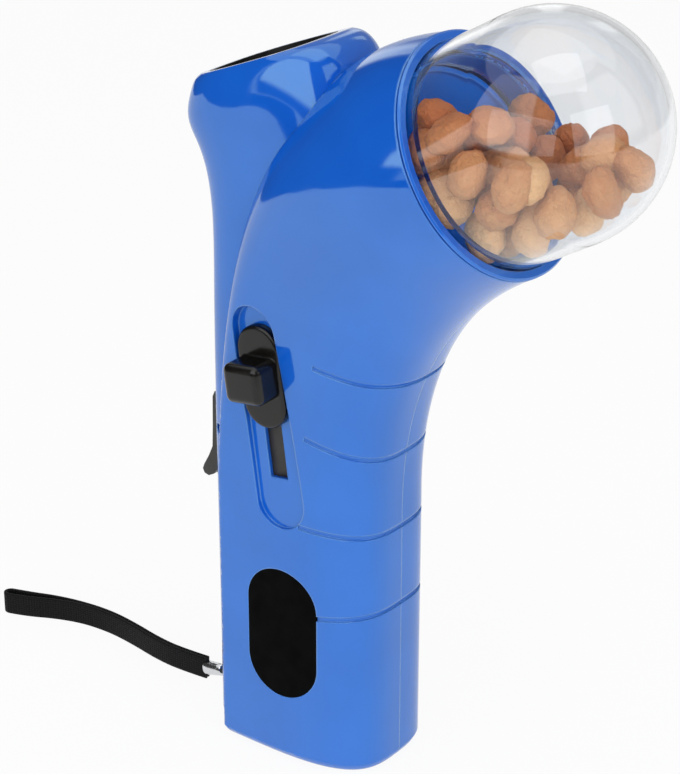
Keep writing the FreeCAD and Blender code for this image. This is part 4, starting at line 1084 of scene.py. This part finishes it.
@dataclass
class Muzzle:
    """The muzzle housing with its black launch tube."""

    frame: dict

    def build(self) -> None:
        """Refine and dress housing and tube."""
        nodes = self.frame["nodes"]
        skin = Skin(HousingForm().rings())
        install(polished(nodes["muzzle_housing"], "muzzle_moulding", skin, reach_mm=0.5),
                "muzzle_housing", CASING_ABS, "casing")
        install(polished(nodes["launch_tube"], "launch_tube_liner"), "launch_tube", TUBE_ABS,
                "casing")
        LOG.info("muzzle built")


@dataclass
class Works:
    """The hidden works: plunger, springs, seat, rod, stops."""

    frame: dict
    # from each spring's free end to its seat, and how far the free end comes down
    tube_axis: tuple[float, float, float] = (0.133986, 0.0, -0.990983)
    paddle_axis: tuple[float, float, float] = (1.0, 0.0, 0.0)
    cocked_mm: float = 27.0
    pressed_mm: float = 2.6

    def build(self) -> None:
        """Dress the nodes that keep their CAD shape."""
        finishes = {"piston": PLUNGER_ACETAL, "piston_pad": RUBBER, "spring_seat": TUBE_ABS,
                    "guide_rod": STEEL, "slider_bumper": RUBBER, "trigger_pin": STEEL,
                    "dome_seal": SEAL_RUBBER_PAINTED_LIGHT, "slider_arm": ARM_ABS}
        for node, finish in finishes.items():
            dress(self.frame["nodes"][node], finish)
        self.coil("mainspring")
        self.coil("trigger_spring")
        LOG.info("works dressed")

    def coil(self, node: str) -> None:
        """A spring's wire: a copy of its CAD mesh, put in the node's place.

        Args:
            node: the CAD node.
        """
        piece = install(new_piece(f"{node}_wire", self.frame["nodes"][node].data.copy()), node,
                        STEEL, "casing")
        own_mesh(piece)


@dataclass
class Controls:
    """The cocking knob and the trigger paddle."""

    frame: dict

    def build(self) -> None:
        """Polish and dress knob and paddle."""
        nodes = self.frame["nodes"]
        install(polished(nodes["slider_knob"], "slider_knob_moulding"), "slider_knob", KNOB_ABS,
                "plunger")
        install(polished(nodes["trigger"], "trigger_paddle"), "trigger", TRIGGER_ABS,
                "paddle")
        LOG.info("controls built")


@dataclass
class Hopper:
    """Clear dome, collar, funnel and the kibble inside."""

    frame: dict
    collar: tuple[float, float] = (50.7, 191.4)
    tilt: float = 30.3
    dome_outer: float = 30.5
    dome_wall: float = 1.8
    straight: float = 19.9
    skirt_outer: float = 28.6
    skirt_wall: float = 1.6
    skirt_length: float = 8.0
    step: float = 1.5
    shoulder: float = 0.3
    ledge: float = 1.0
    turns: int = 160
    arc_steps: int = 64
    lump_mm: float = 5.7
    dent_mm: float = 0.8
    seed: int = 7
    lump_least: tuple[float, float, float] = (1.02, 0.84, 0.74)
    lump_most: tuple[float, float, float] = (1.26, 1.0, 0.92)
    tone_most: float = 0.75
    bulge_mm: float = 9.0
    grit_mm: float = 2.4
    grit_share: float = 0.7
    relief_middle: float = 0.9
    relief_gain: float = 3.2
    # loose pieces that settled by the collar: along the axis, across, above it
    settled: tuple = ((1.5, -16.0, 12.5), (-1.0, -20.5, 7.5), (-2.5, -20.8, -3.0),
                      (6.5, -20.5, 9.0), (13.0, -12.5, 6.5), (20.0, -16.0, -9.0),
                      (27.0, 4.5, -11.0))

    def axis_frame(self) -> Matrix:
        """The frame of the dome's axis: origin at the collar's face, Z outwards, metres."""
        turn = Matrix.Rotation(math.radians(90 - self.tilt), 4, "Y")
        return Matrix.Translation(Vector((self.collar[0], 0, self.collar[1])) * MM) @ turn

    def lathe(self, name: str, profile: Sequence[tuple[float, float]]) -> Piece:
        """Turn a closed profile of (radius, height) in mm about the dome's axis.

        Args:
            name: the piece's name.
            profile: corners in order; a radius of 0 lies on the axis.
        Returns:
            The piece.
        """
        points, faces = [], []
        count = len(profile)
        for k in range(self.turns):
            angle = 2 * math.pi * k / self.turns
            for radius, height in profile:
                points.append((radius * math.cos(angle) * MM, radius * math.sin(angle) * MM,
                               height * MM))
        for k in range(self.turns):
            n = (k + 1) % self.turns
            for i in range(count):
                j = (i + 1) % count
                faces.append((k * count + i, n * count + i, n * count + j, k * count + j))
        mesh = mesh_from(name, points, faces)
        faces_out(mesh)
        mesh.transform(self.axis_frame())
        smooth_by_angle(mesh)
        return new_piece(name, mesh)

    def arc(self, radius: float, start: float, end: float) -> list[tuple[float, float]]:
        """Profile points on an arc about the hemisphere's centre."""
        return [(radius * math.cos(a), self.straight + radius * math.sin(a))
                for a in np.linspace(math.radians(start), math.radians(end), self.arc_steps)]

    def dome(self) -> Piece:
        """Cylinder and hemisphere with a real wall, skirt and shoulder.

        Returns:
            The piece that stands for the dome.
        """
        inner = self.dome_outer - self.dome_wall
        bore = self.skirt_outer - self.skirt_wall
        profile = [(bore, -self.skirt_length), (self.skirt_outer, -self.skirt_length),
                   (self.skirt_outer, -self.step),
                   (self.dome_outer - self.shoulder, -self.step),
                   (self.dome_outer, -self.step + self.shoulder),
                   (self.dome_outer, self.straight * 0.5)]
        profile += self.arc(self.dome_outer, 0, 90)
        profile += self.arc(inner, 90, 0)
        profile += [(inner, self.straight * 0.5), (inner, self.ledge), (bore, self.ledge)]
        return install(self.lathe("dome_blown", profile), "dome", DOME_PC,
                       "hopper")

    def dress_nodes(self) -> None:
        """Polish collar and funnel."""
        nodes = self.frame["nodes"]
        install(polished(nodes["dome_collar"], "dome_collar_ring"), "dome_collar", COLLAR_ABS,
                "casing")
        install(polished(nodes["hopper_funnel"], "hopper_funnel_moulding"), "hopper_funnel",
                FUNNEL_ABS_PAINTED_LIGHT, "casing")

    def kibble_centres(self) -> list[Vector]:
        """Find the loose pieces of the kibble node.

        Returns:
            Their centres, in a fixed order.
        """
        bm = bmesh.new()
        bm.from_mesh(self.frame["nodes"]["treats"].data)
        bmesh.ops.remove_doubles(bm, verts=bm.verts, dist=2e-6)
        seen: set = set()
        centres = []
        for start in bm.verts:
            if start in seen:
                continue
            group, queue = [], [start]
            seen.add(start)
            while queue:
                vert = queue.pop()
                group.append(vert.co)
                for edge in vert.link_edges:
                    other = edge.other_vert(vert)
                    if other not in seen:
                        seen.add(other)
                        queue.append(other)
            low = Vector([min(c[i] for c in group) for i in range(3)])
            high = Vector([max(c[i] for c in group) for i in range(3)])
            centres.append((low + high) * 0.5)
        bm.free()
        return sorted(centres, key=lambda c: (round(c.x, 5), round(c.y, 5), round(c.z, 5)))

    def kibble_tree(self) -> bpy.types.NodeTree:
        """Geometry Nodes that put an uneven lump of food on every point.

        Returns:
            The node tree.
        """
        tree = bpy.data.node_groups.new("kibble_lumps", "GeometryNodeTree")
        face = tree.interface
        face.new_socket("Points", in_out="INPUT", socket_type="NodeSocketGeometry")
        for name, kind, value in (("Radius", "Float", self.lump_mm * MM),
                                  ("Dent", "Float", self.dent_mm * MM),
                                  ("Seed", "Int", self.seed)):
            socket = face.new_socket(name, in_out="INPUT", socket_type=f"NodeSocket{kind}")
            socket.default_value = value
        face.new_socket("Geometry", in_out="OUTPUT", socket_type="NodeSocketGeometry")
        given = add_node(tree, "NodeGroupInput").outputs
        lump = add_node(tree, "GeometryNodeMeshIcoSphere",
                        {"Radius": given["Radius"], "Subdivisions": 5})
        drawn = []
        for kind, least, most in (("FLOAT_VECTOR", (0, 0, 0), (6.28, 6.28, 6.28)),
                                  ("FLOAT_VECTOR", self.lump_least, self.lump_most),
                                  ("FLOAT", 0.0, self.tone_most)):
            node = add_node(tree, "FunctionNodeRandomValue",
                            {"Seed": given["Seed"], "Min": least, "Max": most},
                            data_type=kind)
            drawn.append([s for s in node.outputs if s.enabled][0])
        put = add_node(tree, "GeometryNodeInstanceOnPoints",
                       {"Points": given["Points"], "Instance": lump.outputs["Mesh"],
                        "Rotation": drawn[0], "Scale": drawn[1]})
        kept = add_node(tree, "GeometryNodeStoreNamedAttribute",
                        {"Geometry": put.outputs["Instances"], "Name": "tone",
                         "Value": drawn[2]},
                        data_type="FLOAT", domain="INSTANCE")
        real = add_node(tree, "GeometryNodeRealizeInstances",
                        {"Geometry": kept.outputs["Geometry"]})
        place = add_node(tree, "GeometryNodeInputPosition")
        bulge, grit = (add_node(tree, "ShaderNodeTexNoise",
                                {"Vector": place.outputs[0], "Scale": per_mm(size),
                                 "Detail": detail}).outputs["Fac"]
                       for size, detail in ((self.bulge_mm, 0.0), (self.grit_mm, 4.0)))
        depth = add_node(tree, "ShaderNodeMath", {0: grit, 1: self.grit_share, 2: bulge},
                         operation="MULTIPLY_ADD").outputs[0]
        for work, by in (("SUBTRACT", self.relief_middle), ("MULTIPLY", given["Dent"]),
                         ("MULTIPLY", self.relief_gain)):
            depth = add_node(tree, "ShaderNodeMath", {0: depth, 1: by},
                             operation=work).outputs[0]
        normal = add_node(tree, "GeometryNodeInputNormal")
        push = add_node(tree, "ShaderNodeVectorMath",
                        {0: normal.outputs[0], "Scale": depth}, operation="SCALE")
        moved = add_node(tree, "GeometryNodeSetPosition",
                         {"Geometry": real.outputs["Geometry"], "Offset": push.outputs[0]})
        soft = add_node(tree, "GeometryNodeSetShadeSmooth",
                        {"Geometry": moved.outputs["Geometry"]})
        dressed = add_node(tree, "GeometryNodeSetMaterial",
                           {"Geometry": soft.outputs[0], "Material": KIBBLE.material()})
        add_node(tree, "NodeGroupOutput", {"Geometry": dressed.outputs["Geometry"]})
        return tree

    def kibble(self) -> Piece:
        """The pile of food, one lump at each ball of the CAD's pile.

        Returns:
            The piece that stands for the treats.
        """
        turn = self.axis_frame()
        extra = [turn @ (Vector((-w, y, u)) * MM) for u, y, w in self.settled]
        points = mesh_from("kibble_points", self.kibble_centres() + extra, [])
        piece = new_piece("kibble_pile", points)
        change = piece.modifiers.new("lumps", "NODES")
        change.node_group = self.kibble_tree()
        piece = baked(piece)
        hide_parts("treats")
        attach(piece, "casing")
        return piece

    def build(self) -> None:
        """Build the hopper's pieces."""
        self.dome()
        self.dress_nodes()
        kibble = self.kibble()
        LOG.info("hopper built, kibble of %d triangles", len(kibble.data.polygons))


@dataclass
class WristStrap:
    """Doubled tape on edge, its metal crimp and the thin cord through the lug."""

    frame: dict
    width: float = 7.2
    layer: float = 1.05
    floor: float = 0.2
    route: tuple = ((-49.2, -0.1), (-59.4, -1.3), (-69.4, -0.8), (-80.4, 1.1), (-91.4, 2.2),
                    (-102.4, 1.2), (-112.4, -1.8), (-120.9, -5.9), (-128.4, -8.3))
    cord_route: tuple = ((-42.5, -1.2, 5.4), (-35.8, -3.2, 10.0), (-35.8, 3.2, 10.0),
                         (-42.5, 0.6, 5.4))
    crimp_start: tuple[float, float, float] = (-42.5, -0.3, 5.4)
    cord_diameter: float = 1.4
    selvedge: float = 0.35
    # how much of the width is flat between the selvedges, and in how many points
    flat_share: float = 0.7
    flat_points: int = 7
    # the two layers lie this far apart, and part into an eye over these shares of the length
    slack: float = 0.04
    eye_gap: float = 1.0
    eye_share: tuple[float, float] = (0.62, 0.33)
    fold: float = 1.9
    # place along the crimp, half width, half height
    crimp_shape: tuple = ((0.0, 1.2, 1.2), (0.02, 1.6, 1.6), (0.07, 1.85, 1.85),
                          (0.3, 1.95, 1.95), (0.7, 1.95, 2.2), (0.9, 1.9, 2.4),
                          (0.97, 1.8, 2.3), (1.0, 1.4, 1.9))
    crimp_bite: float = 0.6

    def spline(self, name: str, points: Sequence, radius_mm: float = 0.0) -> Piece:
        """A smooth NURBS curve with those control points.

        Args:
            name: the curve's name.
            points: control points in millimetres.
            radius_mm: bevel radius, or 0 for a bare line.
        Returns:
            The curve object.
        """
        data = bpy.data.curves.new(name, "CURVE")
        data.dimensions = "3D"
        line = data.splines.new("NURBS")
        line.points.add(len(points) - 1)
        for place, point in zip(line.points, points):
            place.co = (*(c * MM for c in point), 1.0)
        line.order_u = 3
        line.use_endpoint_u = True
        line.resolution_u = 12
        data.bevel_depth = radius_mm * MM
        data.bevel_resolution = 4
        data.use_fill_caps = radius_mm > 0
        piece = bpy.data.objects.new(name, data)
        bpy.context.scene.collection.objects.link(piece)
        return piece

    def centre_line(self) -> np.ndarray:
        """Read the tape's mid-line from its smooth curve.

        Returns:
            Its points, in metres.
        """
        height = self.floor + self.width / 2
        line = self.spline("strap_line", [(x, y, height) for x, y in self.route])
        graph = bpy.context.evaluated_depsgraph_get()
        mesh = bpy.data.meshes.new_from_object(line.evaluated_get(graph))
        points = np.array([v.co for v in mesh.vertices])
        bpy.data.objects.remove(line)
        bpy.data.meshes.remove(mesh)
        return points

    def tape(self) -> Piece:
        """Two layers that part into a narrow eye before the fold.

        Returns:
            The piece.
        """
        line = self.centre_line()
        step = np.linalg.norm(np.diff(line, axis=0), axis=1)
        travelled = np.concatenate([[0], np.cumsum(step)])
        total = travelled[-1]
        tangent = np.gradient(line, axis=0)
        tangent /= np.linalg.norm(tangent, axis=1, keepdims=True)
        side = np.cross(tangent, (0, 0, 1.0))
        half = self.layer / 2 * MM
        share = travelled / total
        part = np.clip((share - self.eye_share[0]) / self.eye_share[1], 0, 1)
        gap = half + (self.slack + self.eye_gap * part * part * (3 - 2 * part)) * MM
        fold = self.fold * MM
        keep = travelled < total - fold
        out = line[keep] + side[keep] * gap[keep, None]
        back = line[keep] - side[keep] * gap[keep, None]
        end, ahead, aside = line[keep][-1], tangent[keep][-1], side[keep][-1]
        turn = np.linspace(math.pi / 2, -math.pi / 2, 15)[1:-1]
        arc = [end + ahead * math.cos(a) * fold + aside * math.sin(a) * gap[keep][-1]
               for a in turn]
        path = np.concatenate([out, np.array(arc), back[::-1]])
        return self.ribbon("strap_tape", path, line)

    def ribbon(self, name: str, path: np.ndarray, line: np.ndarray) -> Piece:
        """A tape on edge along a path, with rounded selvedges and a UV map in metres.

        Args:
            name: the piece's name.
            path: the layer's mid-line.
            line: the doubled tape's mid-line; not used.
        Returns:
            The piece.
        """
        tangent = np.gradient(path, axis=0)
        tangent /= np.linalg.norm(tangent, axis=1, keepdims=True)
        side = np.cross(tangent, (0, 0, 1.0))
        half_t, half_w = self.layer / 2 * MM, self.width / 2 * MM
        rim = self.selvedge * MM
        section = []
        for side_t, side_w, start in ((1, -1, -90), (1, 1, 0), (-1, 1, 90), (-1, -1, 180)):
            corner = (side_t * (half_t - rim), side_w * (half_w - rim))
            for a in (start, start + 30, start + 60, start + 90):
                section.append((corner[0] + rim * math.cos(math.radians(a)),
                                corner[1] + rim * math.sin(math.radians(a))))
            if side_t != side_w:
                flat = np.linspace(side_w * self.flat_share, -side_w * self.flat_share,
                                   self.flat_points)
                section += [(side_t * half_t, w) for w in flat * half_w]
        across, height = np.array(section).T[:, :, None]
        rings = np.array([p + s * across + np.array((0, 0, 1.0)) * height
                          for p, s in zip(path, side)])
        points, faces = sweep_grid(rings, True)
        mesh = mesh_from(name, points, faces)
        run = np.concatenate([[0], np.cumsum(np.linalg.norm(np.diff(path, axis=0), axis=1))])
        layer = mesh.uv_layers.new(name="tape")
        count = len(section)
        for loop in mesh.loops:
            row, place = divmod(loop.vertex_index, count)
            layer.data[loop.index].uv = (run[row], section[place][1])
        smooth_by_angle(mesh, 50)
        faces_out(mesh, merge=False)
        piece = new_piece(name, mesh)
        dress(piece, TAPE)
        return piece

    def crimp(self) -> Piece:
        """A short drawn tube, spread where it grips the tape.

        Returns:
            The piece.
        """
        start = np.array(self.crimp_start)
        end = np.array([self.route[0][0], self.route[0][1], self.floor + self.width / 2])
        axis = (end - start) / np.linalg.norm(end - start)
        length = float(np.linalg.norm(end - start)) + self.crimp_bite
        side = np.cross(axis, (0, 0, 1.0))
        side /= np.linalg.norm(side)
        up = np.cross(side, axis)
        rings = []
        for share, wide, high in self.crimp_shape:
            ring = [start + axis * length * share + side * wide * math.cos(a)
                    + up * high * math.sin(a) for a in np.linspace(0, 2 * math.pi, 41)[:-1]]
            rings.append(ring)
        points, faces = sweep_grid(np.array(rings) * MM, True)
        mesh = mesh_from("strap_crimp_tube", points, faces)
        faces_out(mesh)
        smooth_by_angle(mesh, 40)
        piece = new_piece("strap_crimp_tube", mesh)
        dress(piece, CRIMP_NICKEL)
        return piece

    def build(self) -> None:
        """Build tape, crimp and cord, and put them in their nodes' places."""
        line = self.centre_line()
        tape, crimp = self.tape(), self.crimp()
        cord = self.spline("strap_cord_loop", self.cord_route, self.cord_diameter / 2)
        dress(cord, RUBBER)
        for piece, node in ((tape, "wrist_strap"), (crimp, "strap_crimp"), (cord, "strap_cord")):
            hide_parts(node)
            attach(piece, "casing")


class Ray(Enum):
    """The kinds of ray that see the white background."""

    CAMERA = "Is Camera Ray"
    GLOSSY = "Is Glossy Ray"
    TRANSMISSION = "Is Transmission Ray"


@dataclass
class Studio:
    """Pale floor, soft light, camera."""

    azimuth: float = 37.506
    elevation: float = 24.643
    target: tuple[float, float, float] = (2.24, 0.0, 113.3)
    distance: float = 646.1
    focal_px: float = 2332.6
    image: tuple[int, int] = (680, 774)
    steps: int = 24
    # the table top: its low and high X, its low and high Y, in metres
    table: tuple[float, float, float, float] = (-1.2, 1.6, -0.5, 1.3)
    table_grey: float = 0.86
    table_glow: float = 0.93
    ambient: float = 0.45
    # white behind the object for light that mirrored inside a clear wall: least and most
    inner_white: tuple[float, float] = (0.3, 0.95)
    inner_turn: tuple[float, float] = (0.5, 0.9)
    aim: tuple[float, float, float] = (0.01, 0.0, 0.12)
    # name, place, width and height in metres, power in watts
    lamps: tuple = (("key_lamp", (0.1, -1.2, 0.4), (1.6, 0.8), 7.5),
                    ("fill_lamp", (1.2, -0.35, 0.45), (0.9, 0.9), 5.5),
                    ("top_lamp", (0.4, -0.3, 1.5), (1.0, 1.0), 6.0))
    # name, bearings, elevations, distance, brightness, fading edge
    drapes: tuple = (("dark_drape_left", (146.0, 232.0), (-21.0, 42.0), 1.6, 0.05, 0.03),
                     ("grey_drape_back", (36.0, 147.0), (10.0, 46.0), 1.6, 0.36, 0.04),
                     ("pale_drape_back", (36.0, 147.0), (-21.0, 11.0), 1.65, 0.7, 0.04),
                     ("dark_drape_front", (-129.0, 38.0), (-10.0, 60.0), 1.6, 0.08, 0.02),
                     ("dark_apron", (228.0, 262.0), (-21.0, -9.0), 1.5, 0.03, 0.1),
                     ("strip_window_a", (89.0, 104.0), (24.0, 42.0), 1.4, 1.4, 0.3),
                     ("strip_window_b", (116.0, 127.0), (4.0, 38.0), 1.4, 1.4, 0.3),
                     ("strip_window_c", (133.0, 152.0), (-6.0, 36.0), 1.4, 1.5, 0.4))
    # name, corner, side, other side, brightness, fading edge
    panels: tuple = (
        ("front_panel", (-0.14, -0.193, 0.172), (0.26, 0, 0), (0, 0, 0.35), 2.0, 0.05),
        ("right_panel", (0.28, -0.12, 0.2), (0, 0.25, 0), (0, 0, 0.3), 1.2, 0.12),
        ("top_panel", (-0.4, -0.25, 0.95), (0.8, 0, 0), (0, 0.6, 0), 1.8, 0.08))

    def back(self) -> Vector:
        """The direction from the object to the camera."""
        a, e = math.radians(self.azimuth), math.radians(self.elevation)
        return Vector((math.sin(a) * math.cos(e), -math.cos(a) * math.cos(e), math.sin(e)))

    def seen(self, tree: Tree) -> Socket:
        """Tell the rays that see the background from those that only light.

        Args:
            tree: the node tree.
        Returns:
            1 for a ray that sees it, 0 for the others.
        """
        path = add_node(tree, "ShaderNodeLightPath")
        total = None
        for ray in Ray:
            here = path.outputs[ray.value]
            total = here if total is None else add_node(
                tree, "ShaderNodeMath", {0: total, 1: here}, operation="MAXIMUM").outputs[0]
        return total

    def world(self) -> None:
        """White where it is seen, a plain grey light elsewhere."""
        world = bpy.data.worlds.new("studio")
        world.use_nodes = True
        tree = world.node_tree
        tree.nodes.clear()
        lit = add_node(tree, "ShaderNodeBackground",
                       {"Color": (1, 1, 1, 1), "Strength": self.ambient})
        # what mirrors inside a clear wall, and leaves through it, sees the dark drape too
        path = add_node(tree, "ShaderNodeLightPath")
        inner = add_node(tree, "ShaderNodeMath", {0: path.outputs["Glossy Depth"], 1: 0.5},
                         operation="GREATER_THAN")
        inner = add_node(tree, "ShaderNodeMath", {0: inner.outputs[0],
                                                 1: path.outputs["Is Transmission Ray"]},
                         operation="MULTIPLY")
        # past the object it is white again, so that a clear rim stays pale
        ahead = add_node(tree, "ShaderNodeVectorMath",
                         {0: add_node(tree, "ShaderNodeTexCoord").outputs["Generated"],
                          1: tuple(-self.back())}, operation="DOT_PRODUCT")
        dim = add_node(tree, "ShaderNodeMapRange",
                       {"Value": ahead.outputs["Value"], "From Min": self.inner_turn[0],
                        "From Max": self.inner_turn[1], "To Min": self.inner_white[0],
                        "To Max": self.inner_white[1]})
        strength = add_node(tree, "ShaderNodeMapRange",
                            {"Value": inner.outputs[0], "To Min": 1.0,
                             "To Max": dim.outputs["Result"]})
        white = add_node(tree, "ShaderNodeBackground",
                         {"Color": (1, 1, 1, 1), "Strength": strength.outputs["Result"]})
        mix = add_node(tree, "ShaderNodeMixShader", {"Fac": self.seen(tree),
                                                    1: lit.outputs[0], 2: white.outputs[0]})
        add_node(tree, "ShaderNodeOutputWorld", {"Surface": mix.outputs[0]})
        bpy.context.scene.world = world

    def floor(self) -> None:
        """A pale table top that keeps a faint shadow."""
        low_x, high_x, low_y, high_y = self.table
        mesh = mesh_from("studio_floor", [(low_x, low_y, 0), (high_x, low_y, 0),
                                          (high_x, high_y, 0), (low_x, high_y, 0)],
                         [(0, 1, 2, 3)])
        piece = new_piece("studio_floor", mesh)
        made = bpy.data.materials.new("pale_floor")
        made.use_nodes = True
        tree = made.node_tree
        tree.nodes.clear()
        grey = self.table_grey
        matt = add_node(tree, "ShaderNodeBsdfDiffuse", {"Color": (grey, grey, grey, 1)})
        white = add_node(tree, "ShaderNodeEmission", {"Color": (1, 1, 1, 1), "Strength": 1.0})
        share = add_node(tree, "ShaderNodeMath", {0: self.seen(tree), 1: self.table_glow},
                         operation="MULTIPLY")
        mix = add_node(tree, "ShaderNodeMixShader", {"Fac": share.outputs[0],
                                                    1: matt.outputs[0], 2: white.outputs[0]})
        add_node(tree, "ShaderNodeOutputMaterial", {"Surface": mix.outputs[0]})
        mesh.materials.append(made)

    def on_ring(self, turn: tuple[float, float], rise: tuple[float, float],
                reach: float) -> Callable[[float, float], tuple]:
        """The face of a card on a ring round the table.

        Args:
            turn: its first and last bearing from the X axis, in degrees.
            rise: its lowest and highest elevation, in degrees.
            reach: its distance, in metres.
        Returns:
            The point at two shares of the card's size, 0 to 1.
        """
        def point(along: float, high: float) -> tuple[float, float, float]:
            """The point at two shares of the card's size."""
            bearing = math.radians(turn[0] + (turn[1] - turn[0]) * along)
            up = math.radians(rise[0] + (rise[1] - rise[0]) * high)
            return (reach * math.cos(bearing), reach * math.sin(bearing),
                    self.target[2] * MM + reach * math.tan(up))
        return point

    def card(self, name: str, face: Callable[[float, float], Sequence[float]], glow: float,
             soft: float) -> None:
        """A card that shows only in reflections, as the walls of a light tent do.

        Args:
            name: the card's name.
            face: its point at two shares of its size, 0 to 1.
            glow: its brightness.
            soft: width of its fading edge, as a share of its size.
        """
        steps = self.steps
        points = [face(k / steps, m / steps) for k in range(steps + 1) for m in range(steps + 1)]
        faces = []
        for k in range(steps):
            for m in range(steps):
                a = k * (steps + 1) + m
                faces.append((a, a + steps + 1, a + steps + 2, a + 1))
        mesh = mesh_from(name, points, faces)
        layer = mesh.uv_layers.new(name="card")
        for loop in mesh.loops:
            k, m = divmod(loop.vertex_index, steps + 1)
            layer.data[loop.index].uv = (k / steps, m / steps)
        piece = new_piece(name, mesh)
        made = bpy.data.materials.new(name)
        made.use_nodes = True
        tree = made.node_tree
        tree.nodes.clear()
        uv = add_node(tree, "ShaderNodeUVMap", uv_map="card")
        split = add_node(tree, "ShaderNodeSeparateXYZ", {"Vector": uv.outputs["UV"]})
        inside = None
        for axis in ("X", "Y"):
            away = add_node(tree, "ShaderNodeMath", {0: split.outputs[axis], 1: 0.5},
                            operation="SUBTRACT").outputs[0]
            away = add_node(tree, "ShaderNodeMath", {0: away}, operation="ABSOLUTE").outputs[0]
            here = add_node(tree, "ShaderNodeMapRange",
                            {"Value": away, "From Min": 0.5, "From Max": 0.5 - soft,
                             "To Min": 0.0, "To Max": 1.0},
                            interpolation_type="SMOOTHSTEP").outputs["Result"]
            inside = here if inside is None else add_node(
                tree, "ShaderNodeMath", {0: inside, 1: here}, operation="MULTIPLY").outputs[0]
        light = add_node(tree, "ShaderNodeEmission",
                         {"Color": (glow, glow, glow, 1), "Strength": 1.0})
        clear = add_node(tree, "ShaderNodeBsdfTransparent")
        mix = add_node(tree, "ShaderNodeMixShader", {"Fac": inside, 1: clear.outputs[0],
                                                    2: light.outputs[0]})
        add_node(tree, "ShaderNodeOutputMaterial", {"Surface": mix.outputs[0]})
        mesh.materials.append(made)
        piece.visible_camera = False
        piece.visible_diffuse = False
        piece.visible_shadow = False
        piece.visible_transmission = False

    def lamp(self, name: str, place: tuple, size: tuple[float, float], power: float) -> None:
        """A soft lamp, seen in the gloss only through its card.

        Args:
            name: the lamp's name.
            place: where it stands, in metres.
            size: its width and height.
            power: in watts.
        """
        data = bpy.data.lights.new(name, "AREA")
        data.shape = "RECTANGLE"
        data.size, data.size_y = size
        data.energy = power
        lamp = bpy.data.objects.new(name, data)
        lamp.location = place
        facing = Vector(self.aim) - Vector(place)
        lamp.rotation_euler = facing.to_track_quat("-Z", "Y").to_euler()
        lamp.visible_glossy = False
        bpy.context.scene.collection.objects.link(lamp)

    def camera(self) -> None:
        """The camera at the fitted view."""
        back = self.back()
        a = math.radians(self.azimuth)
        right = Vector((math.cos(a), math.sin(a), 0))
        up = back.cross(right)
        place = (Vector(self.target) + back * self.distance) * MM
        data = bpy.data.cameras.new("camera")
        data.sensor_fit = "VERTICAL"
        data.sensor_height = 36.0
        data.lens = self.focal_px / self.image[1] * 36.0
        camera = bpy.data.objects.new("camera", data)
        bpy.context.scene.collection.objects.link(camera)
        camera.matrix_world = Matrix.Translation(place) @ Matrix(
            (right, up, back)).transposed().to_4x4()
        bpy.context.scene.camera = camera

    def build(self) -> None:
        """Set up floor, light and camera."""
        bpy.context.scene.view_settings.view_transform = "Standard"
        self.world()
        self.floor()
        for name, place, size, power in self.lamps:
            self.lamp(name, place, size, power)
        for name, turn, rise, reach, glow, soft in self.drapes:
            self.card(name, self.on_ring(turn, rise, reach), glow, soft)
        for name, *sides, glow, soft in self.panels:
            corner, across, up = (Vector(side) for side in sides)
            self.card(name, lambda k, m: corner + across * k + up * m, glow, soft)
        self.camera()
        LOG.info("studio set")


def main() -> None:
    """Load the frame, build every sub-assembly and note the sizes."""
    logging.basicConfig(level=logging.INFO)
    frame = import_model()
    for part in (Casing, Muzzle, Works, Controls, Hopper, WristStrap):
        part(frame).build()
    Studio().build()


if __name__ == "__main__":
    main()
